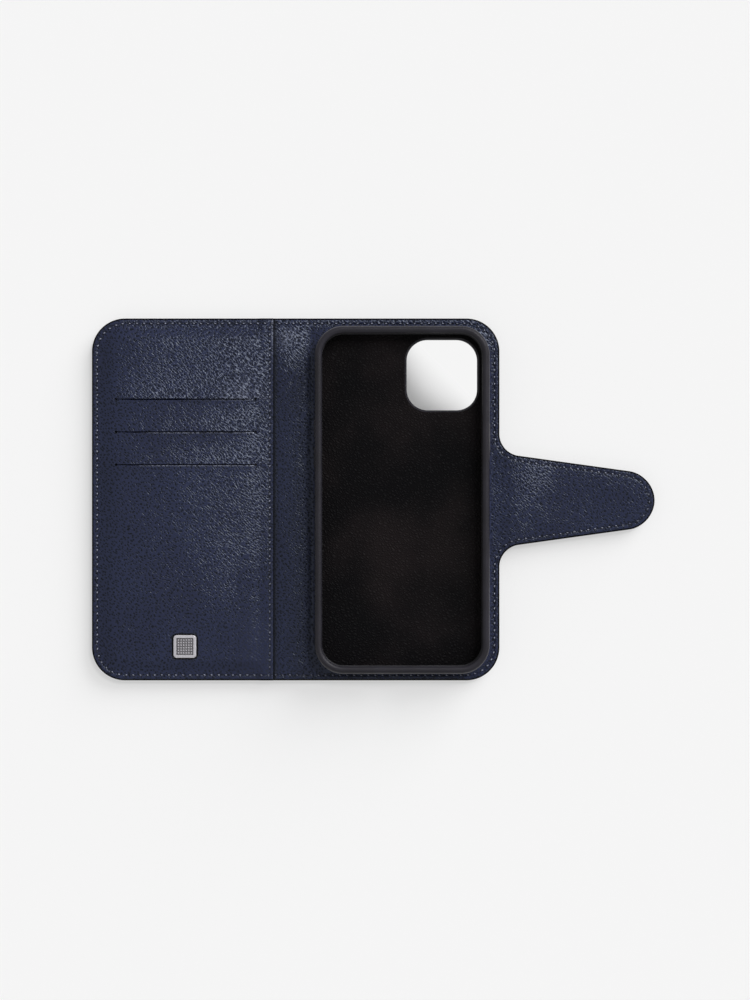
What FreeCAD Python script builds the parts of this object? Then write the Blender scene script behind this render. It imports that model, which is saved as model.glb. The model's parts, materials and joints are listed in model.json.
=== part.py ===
# A phone wallet case, lying open: cover with card pockets, spine, back with a moulded phone
# shell, and a closing strap.  Millimetres.  +X runs from the cover's free edge to the strap's
# tip, +Y towards the camera window, +Z up from the surface that the case lies on.  The origin
# is on that surface, under the middle of the open case.
import FreeCAD, Part
import math
import os

# The phone that the shell holds
PHONE_WIDTH = 71.5
PHONE_LENGTH = 146.7
PHONE_THICKNESS = 7.65
PHONE_CORNER = 10.3
PHONE_GAP = 0.2

# Moulded shell
SHELL_WALL = 2.15
SHELL_FLOOR = 1.0
FLOOR_LINING = 0.3
FLOOR_LINING_MARGIN = 0.1
LIP_OVERHANG = 1.05
LIP_HEIGHT = 1.05
RIM_ROUND = 1.6
LIP_ROUND = 0.8
BASE_BEVEL = 0.6
SHELL_SHIFT_Y = -0.2

# Leather, board and fabric thicknesses
OUTER_LEATHER = 1.2
LINING_LEATHER = 0.8
BOARD = 0.7
BOND = 0.2
POCKET_FABRIC = 0.2
REINFORCEMENT = 0.3
OUTER_EDGE_BEVEL = 0.45
LINING_EDGE_BEVEL = 0.3

# Panels
PANEL_CORNER = 14.5
MARGIN_END = 3.8
MARGIN_FOLD = 1.76
MARGIN_FREE = 4.76
COVER_SETBACK = 1.3
CLOSING_GAP = 0.5
FOLD_GAP = 0.3
SEAT_GAP = 0.15
BOARD_SLOPE = 1.2

# Camera window, set in from the phone's side and top
WINDOW_SIZE = 31.0
WINDOW_CORNER = 9.2
WINDOW_FROM_SIDE = 2.7
WINDOW_FROM_TOP = 3.1
COLLAR_WALL = 1.1
COLLAR_RECESS = 0.25
WINDOW_LINING_MARGIN = 0.8

# Controls in the shell's side walls, measured down from the phone's top
KEY_HEIGHT = 2.8
KEY_FLANGE = 0.6
KEY_FLANGE_THICKNESS = 0.6
KEY_BACK_GAP = 0.2
KEY_WEB = 2.0
KEY_PROUD = 0.35
KEY_TRAVEL = 0.4
KEY_PLAY = 0.12
KEY_REST_PLAY = 0.05
KEY_BEVEL = 0.25
VOLUME_KEY_LENGTH = 9.4
SIDE_KEY_LENGTH = 13.2
MUTE_FROM_TOP = 29.7
SIDE_KEY_FROM_TOP = 46.6
MUTE_LENGTH = 9.6
MUTE_HEIGHT = 5.2
PORT_LENGTH = 13.0
PORT_HEIGHT = 5.2
RECESS_DEPTH = 0.5
RECESS_GROWTH = 1.2
SPEAKER_LENGTH = 11.0
SPEAKER_HEIGHT = 2.4
SPEAKER_FROM_PORT = 17.5

# Card panel, pockets and their slits
CARD_PANEL_TO_FOLD = 1.8
HINGE_STRIP_LAP = 4.6
CARD_BAND = 3.9
CARD_EDGE_BAND = 2.8
SLIT_WIDTH = 0.35
SLIT_HOLE = 1.1
SLIT_FROM_EDGE = 10.8
SLIT_FROM_STEP = 7.6
FIRST_SLIT_FROM_TOP = 35.5
SLIT_PITCH = 14.4
POCKET_FOOT_GAP = 3.0
POCKET_HEAD = 4.0
POCKET_SIDE = 2.6
POCKET_CORNER = 2.0
POCKETS = 3
LAP_SLOPE = 3.0

# Emblem plate near the foot of the card panel
EMBLEM_SIZE = 10.0
EMBLEM_CORNER = 1.4
EMBLEM_THICKNESS = 0.9
EMBLEM_RIM = 1.2
EMBLEM_FIELD_DEPTH = 0.45
EMBLEM_BEVEL = 0.3
HOBNAILS = 6
HOBNAIL_HEIGHT = 0.3
HOBNAIL_BORDER = 0.3
HOBNAIL_POINT = 0.2
EMBLEM_FROM_EDGE = 41.0
EMBLEM_FROM_FOOT = 15.0
PRONG_WIDTH = 2.0
PRONG_THICKNESS = 0.4
PRONG_SPACING = 5.0
PRONG_PLAY = 0.03
PRONG_FOOT_GAP = 0.05
WASHER_THICKNESS = 0.4
WASHER_SIZE = 8.0

# Closing strap
STRAP_LENGTH = 68.2
STRAP_TIP_RADIUS = 12.95
STRAP_TAPER_DEGREES = 7.9
STRAP_SHIFT_Y = -0.4
STRAP_ROOT_RADIUS = 9.5
STRAP_FOLD_SETOUT = 1.2
STRAP_CLOSING_GAP = 0.5
REINFORCEMENT_INSET = 3.6
MAGNET_RADIUS = 6.0
MAGNET_THICKNESS = 1.0
MAGNET_PLAY = 0.1
KEEPER_RADIUS = 7.0
KEEPER_THICKNESS = 0.5
STIFFENER_INSET = 2.6
STIFFENER_CORNER = 1.5

# Heights of the layers
Z_LINING = OUTER_LEATHER
Z_BAND = Z_LINING + LINING_LEATHER
Z_AXIS = Z_BAND / 2
Z_BACK = Z_BAND + BOARD
Z_SHELL = Z_BACK + BOND
Z_BED = Z_SHELL + SHELL_FLOOR + FLOOR_LINING
Z_LIP = Z_BED + PHONE_THICKNESS + PHONE_GAP
Z_RIM = Z_LIP + LIP_HEIGHT
Z_POCKETS = Z_LINING + BOARD
Z_CARD_UNDER = Z_POCKETS + POCKETS * POCKET_FABRIC
Z_CARD = Z_CARD_UNDER + LINING_LEATHER

# Shell's outline
CAVITY_WIDTH = PHONE_WIDTH + 2 * PHONE_GAP
CAVITY_LENGTH = PHONE_LENGTH + 2 * PHONE_GAP
CAVITY_CORNER = PHONE_CORNER + PHONE_GAP
SHELL_WIDTH = CAVITY_WIDTH + 2 * SHELL_WALL
SHELL_LENGTH = CAVITY_LENGTH + 2 * SHELL_WALL
SHELL_CORNER = CAVITY_CORNER + SHELL_WALL

# Lengthways layout, from the cover's free edge to the strap's tip
HALF_HEIGHT = SHELL_LENGTH / 2 + MARGIN_END
BACK_WIDTH = MARGIN_FOLD + SHELL_WIDTH + MARGIN_FREE
COVER_WIDTH = BACK_WIDTH - COVER_SETBACK
SPINE_WIDTH = Z_RIM + CLOSING_GAP + Z_CARD - 2 * Z_AXIS
X_COVER = -(COVER_WIDTH + SPINE_WIDTH + BACK_WIDTH + STRAP_LENGTH) / 2
X_COVER_FOLD = X_COVER + COVER_WIDTH
X_SPINE_FOLD = X_COVER_FOLD + SPINE_WIDTH
X_PANEL = X_SPINE_FOLD + BACK_WIDTH
X_ROOT_FOLD = X_PANEL + STRAP_FOLD_SETOUT
X_STRAP_BEND = X_ROOT_FOLD + SPINE_WIDTH + 2 * Z_AXIS + STRAP_CLOSING_GAP
X_TIP = X_PANEL + STRAP_LENGTH
FOLDS = (X_COVER_FOLD, X_SPINE_FOLD, X_ROOT_FOLD, X_STRAP_BEND)
X_MAGNET = X_TIP - STRAP_TIP_RADIUS
X_SHELL = X_SPINE_FOLD + MARGIN_FOLD
X_PHONE = X_SHELL + SHELL_WIDTH / 2
X_CARD = X_COVER_FOLD - CARD_PANEL_TO_FOLD
X_STRIP = X_CARD - HINGE_STRIP_LAP
Y_PHONE_TOP = SHELL_SHIFT_Y + PHONE_LENGTH / 2
X_WINDOW = X_PHONE + PHONE_WIDTH / 2 - WINDOW_FROM_SIDE - WINDOW_SIZE / 2
Y_WINDOW = Y_PHONE_TOP - WINDOW_FROM_TOP - WINDOW_SIZE / 2
X_KEEPER = X_COVER_FOLD + X_SPINE_FOLD - (X_ROOT_FOLD + X_STRAP_BEND - X_MAGNET)
X_EMBLEM = X_COVER + EMBLEM_FROM_EDGE
Y_EMBLEM = EMBLEM_FROM_FOOT - HALF_HEIGHT
X_SLIT = X_COVER + SLIT_FROM_EDGE
X_SLIT_END = X_CARD - SLIT_FROM_STEP
Y_POCKET_FOOT = Y_EMBLEM + WASHER_SIZE / 2 + POCKET_FOOT_GAP
Z_KEY = (Z_BED + Z_LIP) / 2
KEY_SHOULDER = SHELL_WALL - KEY_REST_PLAY - KEY_FLANGE_THICKNESS - KEY_TRAVEL - KEY_BACK_GAP
KEY_SEAT_LENGTH = VOLUME_KEY_LENGTH + 2 * (KEY_FLANGE + KEY_PLAY)
VOLUME_UP_FROM_TOP = MUTE_FROM_TOP + (MUTE_LENGTH + KEY_SEAT_LENGTH) / 2 + KEY_WEB
VOLUME_DOWN_FROM_TOP = VOLUME_UP_FROM_TOP + KEY_SEAT_LENGTH + KEY_WEB
REACH = 400.0
OVERCUT = 0.1
SLOT_END_FLAT = 0.02


def vec(x, y, z=0.0):
    """A point."""
    return FreeCAD.Vector(x, y, z)


def line(a, b):
    """A straight edge between two (x, y) points, at height 0."""
    return Part.LineSegment(vec(*a), vec(*b)).toShape()


def polar(centre, radius, degrees):
    """The (x, y) point at an angle on a circle."""
    turn = math.radians(degrees)
    return centre[0] + radius * math.cos(turn), centre[1] + radius * math.sin(turn)


def arc(centre, radius, start, end):
    """A circular edge between two angles in degrees."""
    middle = (start + end) / 2
    points = [vec(*polar(centre, radius, turn)) for turn in (start, middle, end)]
    return Part.Arc(*points).toShape()


def rounded_wire(x0, x1, y0, y1, radius):
    """A rectangle with round corners, at height 0."""
    corners = [
        ((x1 - radius, y1 - radius), 90),
        ((x1 - radius, y0 + radius), 0),
        ((x0 + radius, y0 + radius), -90),
        ((x0 + radius, y1 - radius), -180),
    ]
    edges = []
    for index, (centre, start) in enumerate(corners):
        after, next_start = corners[(index + 1) % len(corners)]
        edges.append(arc(centre, radius, start, start - 90))
        edges.append(line(polar(centre, radius, start - 90), polar(after, radius, next_start)))
    return Part.Wire(edges)


def prism(wire, z0, z1):
    """A wire at height 0, filled and raised into a solid between two heights."""
    solid = Part.Face(wire).extrude(vec(0, 0, z1 - z0))
    solid.translate(vec(0, 0, z0))
    return solid


def rounded_prism(x0, x1, y0, y1, radius, z0, z1):
    """A plate with round corners."""
    return prism(rounded_wire(x0, x1, y0, y1, radius), z0, z1)


def centred_prism(x, y, width, length, radius, z0, z1):
    """A plate with round corners about a centre."""
    half_x = width / 2
    half_y = length / 2
    return rounded_prism(x - half_x, x + half_x, y - half_y, y + half_y, radius, z0, z1)


def block(x0, x1, y0, y1, z0, z1):
    """A plain block between limits."""
    return Part.makeBox(x1 - x0, y1 - y0, z1 - z0, vec(x0, y0, z0))


def disc(x, y, radius, z0, z1):
    """An upright round plate."""
    return Part.makeCylinder(radius, z1 - z0, vec(x, y, z0))


def frustum(low, high, z0, z1):
    """A solid between two wires of the same form, the upper one smaller."""
    bottom = low.copy()
    bottom.translate(vec(0, 0, z0))
    top = high.copy()
    top.translate(vec(0, 0, z1))
    return Part.makeLoft([bottom, top], True, True)


def edges_at(solid, z, inside=None):
    """Edges that lie wholly at a height, and inside a box when one is given."""
    found = []
    for edge in solid.Edges:
        box = edge.BoundBox
        level = abs(box.ZMin - z) < 1e-4 and abs(box.ZMax - z) < 1e-4
        if level and (inside is None or inside.isInside(box)):
            found.append(edge)
    return found


def wall_slot(x0, x1, y, z, length, height):
    """A round-ended slot through a side wall, long in Y, cut along X."""
    slot = centred_prism(0, 0, height, length, (height - SLOT_END_FLAT) / 2, 0, x1 - x0)
    slot.rotate(vec(0, 0, 0), vec(0, 1, 0), 90)
    slot.translate(vec(x0, y, z))
    return slot


def end_slot(y0, y1, x, z, length, height):
    """A round-ended slot through an end wall, long in X, cut along Y."""
    slot = centred_prism(0, 0, length, height, (height - SLOT_END_FLAT) / 2, 0, y1 - y0)
    slot.rotate(vec(0, 0, 0), vec(1, 0, 0), -90)
    slot.translate(vec(x, y0, z))
    return slot


def strap_slope():
    """The centre of the strap's tip and of its upper root fillet, as (x, y) points."""
    turn = math.radians(STRAP_TAPER_DEGREES)
    tip = (X_MAGNET, STRAP_SHIFT_Y)
    touch = polar(tip, STRAP_TIP_RADIUS, 90 - STRAP_TAPER_DEGREES)
    root_x = X_PANEL + STRAP_ROOT_RADIUS
    run = (root_x - touch[0]) * math.sin(turn)
    root_y = touch[1] + (STRAP_ROOT_RADIUS - run) / math.cos(turn)
    return tip, (root_x, root_y)


def silhouette():
    """The outline of the whole case, lying open, with the strap running out of the back."""
    tip, root = strap_slope()
    low_root = (root[0], 2 * STRAP_SHIFT_Y - root[1])
    taper = STRAP_TAPER_DEGREES
    right = X_PANEL - PANEL_CORNER
    left = X_COVER + PANEL_CORNER
    height = HALF_HEIGHT - PANEL_CORNER
    arcs = [
        ((right, height), PANEL_CORNER, 90, 0),
        (root, STRAP_ROOT_RADIUS, 180, 270 - taper),
        (tip, STRAP_TIP_RADIUS, 90 - taper, taper - 90),
        (low_root, STRAP_ROOT_RADIUS, 90 + taper, 180),
        ((right, -height), PANEL_CORNER, 0, -90),
        ((left, -height), PANEL_CORNER, -90, -180),
        ((left, height), PANEL_CORNER, 180, 90),
    ]
    edges = []
    for index, (centre, radius, start, end) in enumerate(arcs):
        after = arcs[(index + 1) % len(arcs)]
        edges.append(arc(centre, radius, start, end))
        edges.append(line(polar(centre, radius, end), polar(after[0], after[1], after[2])))
    return Part.Wire(edges)


def fold_cutter(x):
    """The mitred gap at a fold: it opens at 45 degrees above and below the fold's axis."""
    reach = Z_SHELL
    neck = FOLD_GAP / 2
    points = [
        (x - neck - reach, Z_AXIS + reach),
        (x + neck + reach, Z_AXIS + reach),
        (x + neck, Z_AXIS),
        (x + neck + reach, Z_AXIS - reach),
        (x - neck - reach, Z_AXIS - reach),
        (x - neck, Z_AXIS),
    ]
    corners = [FreeCAD.Vector(px, -REACH / 2, pz) for px, pz in points]
    face = Part.Face(Part.makePolygon(corners + corners[:1]))
    return face.extrude(vec(0, REACH, 0))


def between(solid, x0, x1):
    """The part of a sheet between two places along X, mitred where these are folds."""
    piece = solid.common(block(x0, x1, -REACH / 2, REACH / 2, -REACH / 2, REACH / 2))
    for x in (x0, x1):
        if x in FOLDS:
            piece = piece.cut(fold_cutter(x))
    return piece


def outer_blank():
    """The outer leather before it is creased, one piece from the cover to the strap's tip."""
    blank = prism(silhouette(), 0, OUTER_LEATHER)
    return blank.makeChamfer(OUTER_EDGE_BEVEL, edges_at(blank, 0))


def lining_blank():
    """The lining leather before it is creased, cut to the same outline."""
    blank = prism(silhouette(), Z_LINING, Z_BAND)
    return blank.makeChamfer(LINING_EDGE_BEVEL, edges_at(blank, Z_BAND))


def window(clearance, z0, z1):
    """The camera window's space, grown on every side by a clearance."""
    size = WINDOW_SIZE + 2 * clearance
    return centred_prism(X_WINDOW, Y_WINDOW, size, size, WINDOW_CORNER + clearance, z0, z1)


def shell_outline(growth):
    """The shell's outline, grown or, when negative, shrunk on every side."""
    half_x = SHELL_WIDTH / 2 + growth
    half_y = SHELL_LENGTH / 2 + growth
    return rounded_wire(
        X_PHONE - half_x,
        X_PHONE + half_x,
        SHELL_SHIFT_Y - half_y,
        SHELL_SHIFT_Y + half_y,
        SHELL_CORNER + growth,
    )


def back_outer_leather(blank):
    """Outer leather of the back, with the hole for the shell's camera collar."""
    sheet = between(blank, X_SPINE_FOLD, X_ROOT_FOLD)
    return sheet.cut(window(COLLAR_WALL + SEAT_GAP, -1, Z_SHELL))


def back_board_growth():
    """How far the back's board stands out past the shell's outline."""
    return SEAT_GAP


def back_stiffener_board():
    """Board under the shell, which keeps the back flat."""
    board = prism(shell_outline(back_board_growth()), Z_LINING, Z_LINING + BOARD)
    return board.cut(window(COLLAR_WALL + SEAT_GAP, 0, Z_SHELL))


def back_lining_leather(blank):
    """Lining of the back, pressed down round the board to meet the outer leather."""
    flat = back_board_growth() + SEAT_GAP
    pad = frustum(shell_outline(flat + BOARD), shell_outline(flat), Z_BAND, Z_BACK)
    hollow = pad.copy()
    hollow.translate(vec(0, 0, -LINING_LEATHER))
    sheet = between(blank.fuse(pad).cut(hollow), X_SPINE_FOLD, X_ROOT_FOLD)
    return sheet.cut(window(COLLAR_WALL + SEAT_GAP, 0, Z_SHELL)).removeSplitter()


def shell_bonding_sheet():
    """Adhesive sheet between the lining and the shell."""
    sheet = prism(shell_outline(-BASE_BEVEL - SEAT_GAP), Z_BACK, Z_SHELL)
    return sheet.cut(window(COLLAR_WALL + SEAT_GAP, 0, Z_SHELL + 1))


def keys():
    """Name, side, distance from the phone's top and length of each press cover."""
    return [
        ("volume_up_cover", -1, VOLUME_UP_FROM_TOP, VOLUME_KEY_LENGTH),
        ("volume_down_cover", -1, VOLUME_DOWN_FROM_TOP, VOLUME_KEY_LENGTH),
        ("side_button_cover", 1, SIDE_KEY_FROM_TOP, SIDE_KEY_LENGTH),
    ]


def key_cutter(side, y, length):
    """A stepped slot for a press cover: narrow outside, wide inside."""
    outer = side * SHELL_WIDTH / 2
    shoulder = outer - side * KEY_SHOULDER
    inner = side * (CAVITY_WIDTH / 2 - OVERCUT)
    grow = 2 * KEY_PLAY
    low, high = sorted((outer + side, shoulder))
    narrow = wall_slot(low, high, y, Z_KEY, length + grow, KEY_HEIGHT + grow)
    low, high = sorted((shoulder, inner))
    grow += 2 * KEY_FLANGE
    wide = wall_slot(low, high, y, Z_KEY, length + grow, KEY_HEIGHT + grow)
    cutter = narrow.fuse(wide)
    cutter.translate(vec(X_PHONE, 0, 0))
    return cutter


def key_cover(side, y, length):
    """A press cover: a proud pad on a flange that the wall's shoulder holds in."""
    outer = side * SHELL_WIDTH / 2
    face = outer + side * KEY_PROUD
    seat = outer - side * (KEY_SHOULDER + KEY_REST_PLAY)
    back = seat - side * KEY_FLANGE_THICKNESS
    low, high = sorted((face, seat))
    pad = wall_slot(low, high, y, Z_KEY, length, KEY_HEIGHT)
    rim = [e for e in pad.Edges if abs(e.BoundBox.XMin - face) + abs(e.BoundBox.XMax - face) < 1e-4]
    pad = pad.makeChamfer(KEY_BEVEL, rim)
    low, high = sorted((seat, back))
    grow = 2 * KEY_FLANGE
    flange = wall_slot(low, high, y, Z_KEY, length + grow, KEY_HEIGHT + grow)
    cover = pad.fuse(flange).removeSplitter()
    cover.translate(vec(X_PHONE, 0, 0))
    return cover


def wall_openings():
    """Cutters for the mute switch, the port and the speaker slots."""
    y_mute = Y_PHONE_TOP - MUTE_FROM_TOP
    y_foot = SHELL_SHIFT_Y - SHELL_LENGTH / 2
    y_inside = y_foot + SHELL_WALL + OVERCUT
    x_inside = X_SHELL + SHELL_WALL + OVERCUT
    y_recess = y_foot + RECESS_DEPTH
    x_recess = X_SHELL + RECESS_DEPTH
    mute = (MUTE_LENGTH + RECESS_GROWTH, MUTE_HEIGHT + RECESS_GROWTH)
    port = (PORT_LENGTH + RECESS_GROWTH, PORT_HEIGHT + RECESS_GROWTH)
    openings = [
        wall_slot(X_SHELL - 1, x_inside, y_mute, Z_KEY, MUTE_LENGTH, MUTE_HEIGHT),
        wall_slot(X_SHELL - 1, x_recess, y_mute, Z_KEY, *mute),
        end_slot(y_foot - 1, y_inside, X_PHONE, Z_KEY, PORT_LENGTH, PORT_HEIGHT),
        end_slot(y_foot - 1, y_recess, X_PHONE, Z_KEY, *port),
    ]
    for side in (-1, 1):
        x = X_PHONE + side * SPEAKER_FROM_PORT
        openings.append(end_slot(y_foot - 1, y_inside, x, Z_KEY, SPEAKER_LENGTH, SPEAKER_HEIGHT))
    return openings


def phone_shell():
    """The moulded shell: floor, walls, rounded lip, camera collar and side openings."""
    body = prism(shell_outline(0), Z_SHELL, Z_RIM)
    body = body.makeFillet(RIM_ROUND, edges_at(body, Z_RIM))
    body = body.makeChamfer(BASE_BEVEL, edges_at(body, Z_SHELL))
    mouth = prism(shell_outline(-SHELL_WALL - LIP_OVERHANG), Z_LIP - OVERCUT, Z_RIM + 1)
    body = body.cut(mouth)
    inside = FreeCAD.BoundBox(
        X_SHELL + SHELL_WALL, -REACH, 0, X_SHELL + SHELL_WIDTH - SHELL_WALL, REACH, REACH
    )
    body = body.makeFillet(LIP_ROUND, edges_at(body, Z_RIM, inside))
    body = body.cut(prism(shell_outline(-SHELL_WALL), Z_SHELL + SHELL_FLOOR, Z_LIP))
    body = body.fuse(window(COLLAR_WALL, COLLAR_RECESS, Z_SHELL + SHELL_FLOOR / 2))
    body = body.cut(window(0, 0, Z_BED))
    for cutter in wall_openings():
        body = body.cut(cutter)
    for _, side, from_top, length in keys():
        body = body.cut(key_cutter(side, Y_PHONE_TOP - from_top, length))
    return body.removeSplitter()


def shell_floor_lining():
    """Grained sheet that the phone lies on; it drops in through the lip's opening."""
    inset = SHELL_WALL + LIP_OVERHANG + FLOOR_LINING_MARGIN
    sheet = prism(shell_outline(-inset), Z_SHELL + SHELL_FLOOR, Z_BED)
    return sheet.cut(window(WINDOW_LINING_MARGIN, 0, Z_RIM))


def spine_stiffener_plate(clearance, z1):
    """The spine's stiffener, or the space for it when a clearance is given."""
    x0 = X_COVER_FOLD + STIFFENER_INSET - clearance
    x1 = X_SPINE_FOLD - STIFFENER_INSET + clearance
    half = HALF_HEIGHT - MARGIN_END + clearance
    return rounded_prism(x0, x1, -half, half, STIFFENER_CORNER, Z_LINING, z1)


def reinforcement_plate(clearance, z1):
    """The strap's reinforcing sheet, or the space for it when a clearance is given."""
    tip, _ = strap_slope()
    radius = STRAP_TIP_RADIUS - REINFORCEMENT_INSET + clearance
    taper = STRAP_TAPER_DEGREES
    x0 = X_STRAP_BEND + REINFORCEMENT_INSET - clearance
    top = polar(tip, radius, 90 - taper)
    rise = (top[0] - x0) * math.tan(math.radians(taper))
    bottom = (top[0], 2 * STRAP_SHIFT_Y - top[1])
    corner = (x0, top[1] + rise)
    low_corner = (x0, bottom[1] - rise)
    edges = [
        line(corner, top),
        arc(tip, radius, 90 - taper, taper - 90),
        line(bottom, low_corner),
        line(low_corner, corner),
    ]
    return prism(Part.Wire(edges), Z_LINING, z1)


def magnet_space(clearance):
    """The strap's magnet, or its seat, half in the outer leather and half in the lining."""
    z0 = Z_LINING - MAGNET_THICKNESS / 2
    return disc(X_MAGNET, STRAP_SHIFT_Y, MAGNET_RADIUS + clearance, z0, z0 + MAGNET_THICKNESS)


def slit_heights():
    """Places along Y of the three slits, from the top pocket to the bottom one."""
    first = HALF_HEIGHT - FIRST_SLIT_FROM_TOP
    return [first - index * SLIT_PITCH for index in range(POCKETS)]


def card_outline():
    """The card panel's outline: round outer corners, square along the spine."""
    left = X_COVER + PANEL_CORNER
    height = HALF_HEIGHT - PANEL_CORNER
    edges = [
        line((X_CARD, HALF_HEIGHT), (X_CARD, -HALF_HEIGHT)),
        line((X_CARD, -HALF_HEIGHT), (left, -HALF_HEIGHT)),
        arc((left, -height), PANEL_CORNER, -90, -180),
        line((X_COVER, -height), (X_COVER, height)),
        arc((left, height), PANEL_CORNER, 180, 90),
        line((left, HALF_HEIGHT), (X_CARD, HALF_HEIGHT)),
    ]
    return Part.Wire(edges)


def card_pad():
    """The space that the board and pockets lift the card panel by, over its sewn band."""
    rise = Z_CARD - Z_BAND
    run = rise * BOARD_SLOPE
    left = X_COVER + CARD_BAND
    edge = X_CARD - CARD_EDGE_BAND + LINING_LEATHER * BOARD_SLOPE
    half = HALF_HEIGHT - CARD_BAND
    corner = PANEL_CORNER - CARD_BAND
    low = rounded_wire(left, edge, -half, half, corner)
    inner = corner - run
    high = rounded_wire(left + run, edge - run, run - half, half - run, inner)
    return frustum(low, high, Z_BAND, Z_CARD)


def card_step():
    """The extra height where the card panel laps over the hinge strip."""
    foot = X_STRIP - SEAT_GAP - LINING_LEATHER * LAP_SLOPE
    points = [
        (foot, Z_BAND),
        (X_STRIP - SEAT_GAP, Z_BAND + LINING_LEATHER),
        (X_CARD, Z_BAND + LINING_LEATHER),
        (X_CARD, Z_BAND),
    ]
    corners = [FreeCAD.Vector(px, -HALF_HEIGHT, pz) for px, pz in points]
    face = Part.Face(Part.makePolygon(corners + corners[:1]))
    return face.extrude(vec(0, 2 * HALF_HEIGHT, 0))


def emblem_slots(clearance, z0, z1):
    """The emblem's two prongs, or their slots when a clearance is given."""
    solids = []
    for side in (-1, 1):
        x = X_EMBLEM + side * PRONG_SPACING / 2
        half_x = PRONG_THICKNESS / 2 + clearance
        half_y = PRONG_WIDTH / 2 + clearance
        solids.append(block(x - half_x, x + half_x, Y_EMBLEM - half_y, Y_EMBLEM + half_y, z0, z1))
    return solids


def card_panel():
    """The card panel, raised over the pockets, with three slits that end in punched holes."""
    blank = prism(card_outline(), Z_LINING, Z_BAND)
    rim = [e for e in edges_at(blank, Z_BAND) if e.BoundBox.XMin < X_CARD - 1e-3]
    blank = blank.makeChamfer(LINING_EDGE_BEVEL, rim)
    rise = card_pad().fuse(card_step())
    under = rise.copy()
    under.translate(vec(0, 0, -LINING_LEATHER))
    panel = blank.fuse(rise).cut(under)
    half = SLIT_WIDTH / 2
    for y in slit_heights():
        panel = panel.cut(block(X_SLIT, X_SLIT_END, y - half, y + half, 0, Z_RIM))
        for x in (X_SLIT, X_SLIT_END):
            panel = panel.cut(disc(x, y, SLIT_HOLE / 2, 0, Z_RIM))
    for slot in emblem_slots(PRONG_PLAY, 0, Z_RIM):
        panel = panel.cut(slot)
    return panel.removeSplitter()


def cover_stiffener_board():
    """The cover's board, with a round hole for the keeper plate."""
    inset = CARD_BAND + BOARD * BOARD_SLOPE + SEAT_GAP
    half = HALF_HEIGHT - inset
    board = rounded_prism(
        X_COVER + inset, X_STRIP - SEAT_GAP, -half, half, PANEL_CORNER - inset, Z_LINING, Z_POCKETS
    )
    return board.cut(disc(X_KEEPER, STRAP_SHIFT_Y, KEEPER_RADIUS + MAGNET_PLAY, 0, Z_RIM))


def pocket_lining(index, y):
    """The fabric behind one slit; each lower pocket lies in front of the one above."""
    z0 = Z_POCKETS + index * POCKET_FABRIC
    foot = Y_POCKET_FOOT + (POCKETS - 1 - index) * SLIT_PITCH
    return rounded_prism(
        X_SLIT - POCKET_SIDE,
        X_SLIT_END + POCKET_SIDE,
        foot,
        y + POCKET_HEAD,
        POCKET_CORNER,
        z0,
        z0 + POCKET_FABRIC,
    )


def hobnail_field(z):
    """A square pad parted by crossing V grooves into rows of small points."""
    size = EMBLEM_SIZE - 2 * (EMBLEM_RIM + HOBNAIL_BORDER)
    pitch = size / HOBNAILS
    top = z + HOBNAIL_HEIGHT
    x0 = X_EMBLEM - size / 2
    y0 = Y_EMBLEM - size / 2
    pad = block(x0, x0 + size, y0, y0 + size, z, top)
    half = (pitch - HOBNAIL_POINT) / 2
    corners = [vec(-half, -size, top), vec(half, -size, top), vec(0, -size, z)]
    groove = Part.Face(Part.makePolygon(corners + corners[:1])).extrude(vec(0, 2 * size, 0))
    for index in range(HOBNAILS + 1):
        across = groove.copy()
        across.translate(vec(x0 + index * pitch, Y_EMBLEM, 0))
        along = groove.copy()
        along.rotate(vec(0, 0, 0), vec(0, 0, 1), 90)
        along.translate(vec(X_EMBLEM, y0 + index * pitch, 0))
        pad = pad.cut(across).cut(along)
    return pad


def emblem_plate():
    """A square plate with a raised, bevelled rim, a hobnail field and two prongs underneath."""
    top = Z_CARD + EMBLEM_THICKNESS
    plate = centred_prism(
        X_EMBLEM, Y_EMBLEM, EMBLEM_SIZE, EMBLEM_SIZE, EMBLEM_CORNER, Z_CARD, top
    )
    plate = plate.makeChamfer(EMBLEM_BEVEL, edges_at(plate, top))
    inner = EMBLEM_SIZE - 2 * EMBLEM_RIM
    corner = EMBLEM_CORNER - EMBLEM_RIM / 2
    field = top - EMBLEM_FIELD_DEPTH
    plate = plate.cut(centred_prism(X_EMBLEM, Y_EMBLEM, inner, inner, corner, field, top + 1))
    plate = plate.fuse(hobnail_field(field))
    for prong in emblem_slots(0, Z_POCKETS + PRONG_FOOT_GAP, Z_CARD):
        plate = plate.fuse(prong)
    return plate.removeSplitter()


def emblem_backing_washer():
    """The plate that the emblem's prongs are pressed through, behind the card panel."""
    z1 = Z_CARD_UNDER
    washer = centred_prism(
        X_EMBLEM, Y_EMBLEM, WASHER_SIZE, WASHER_SIZE, EMBLEM_CORNER, z1 - WASHER_THICKNESS, z1
    )
    for slot in emblem_slots(PRONG_PLAY, 0, Z_RIM):
        washer = washer.cut(slot)
    return washer


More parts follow.
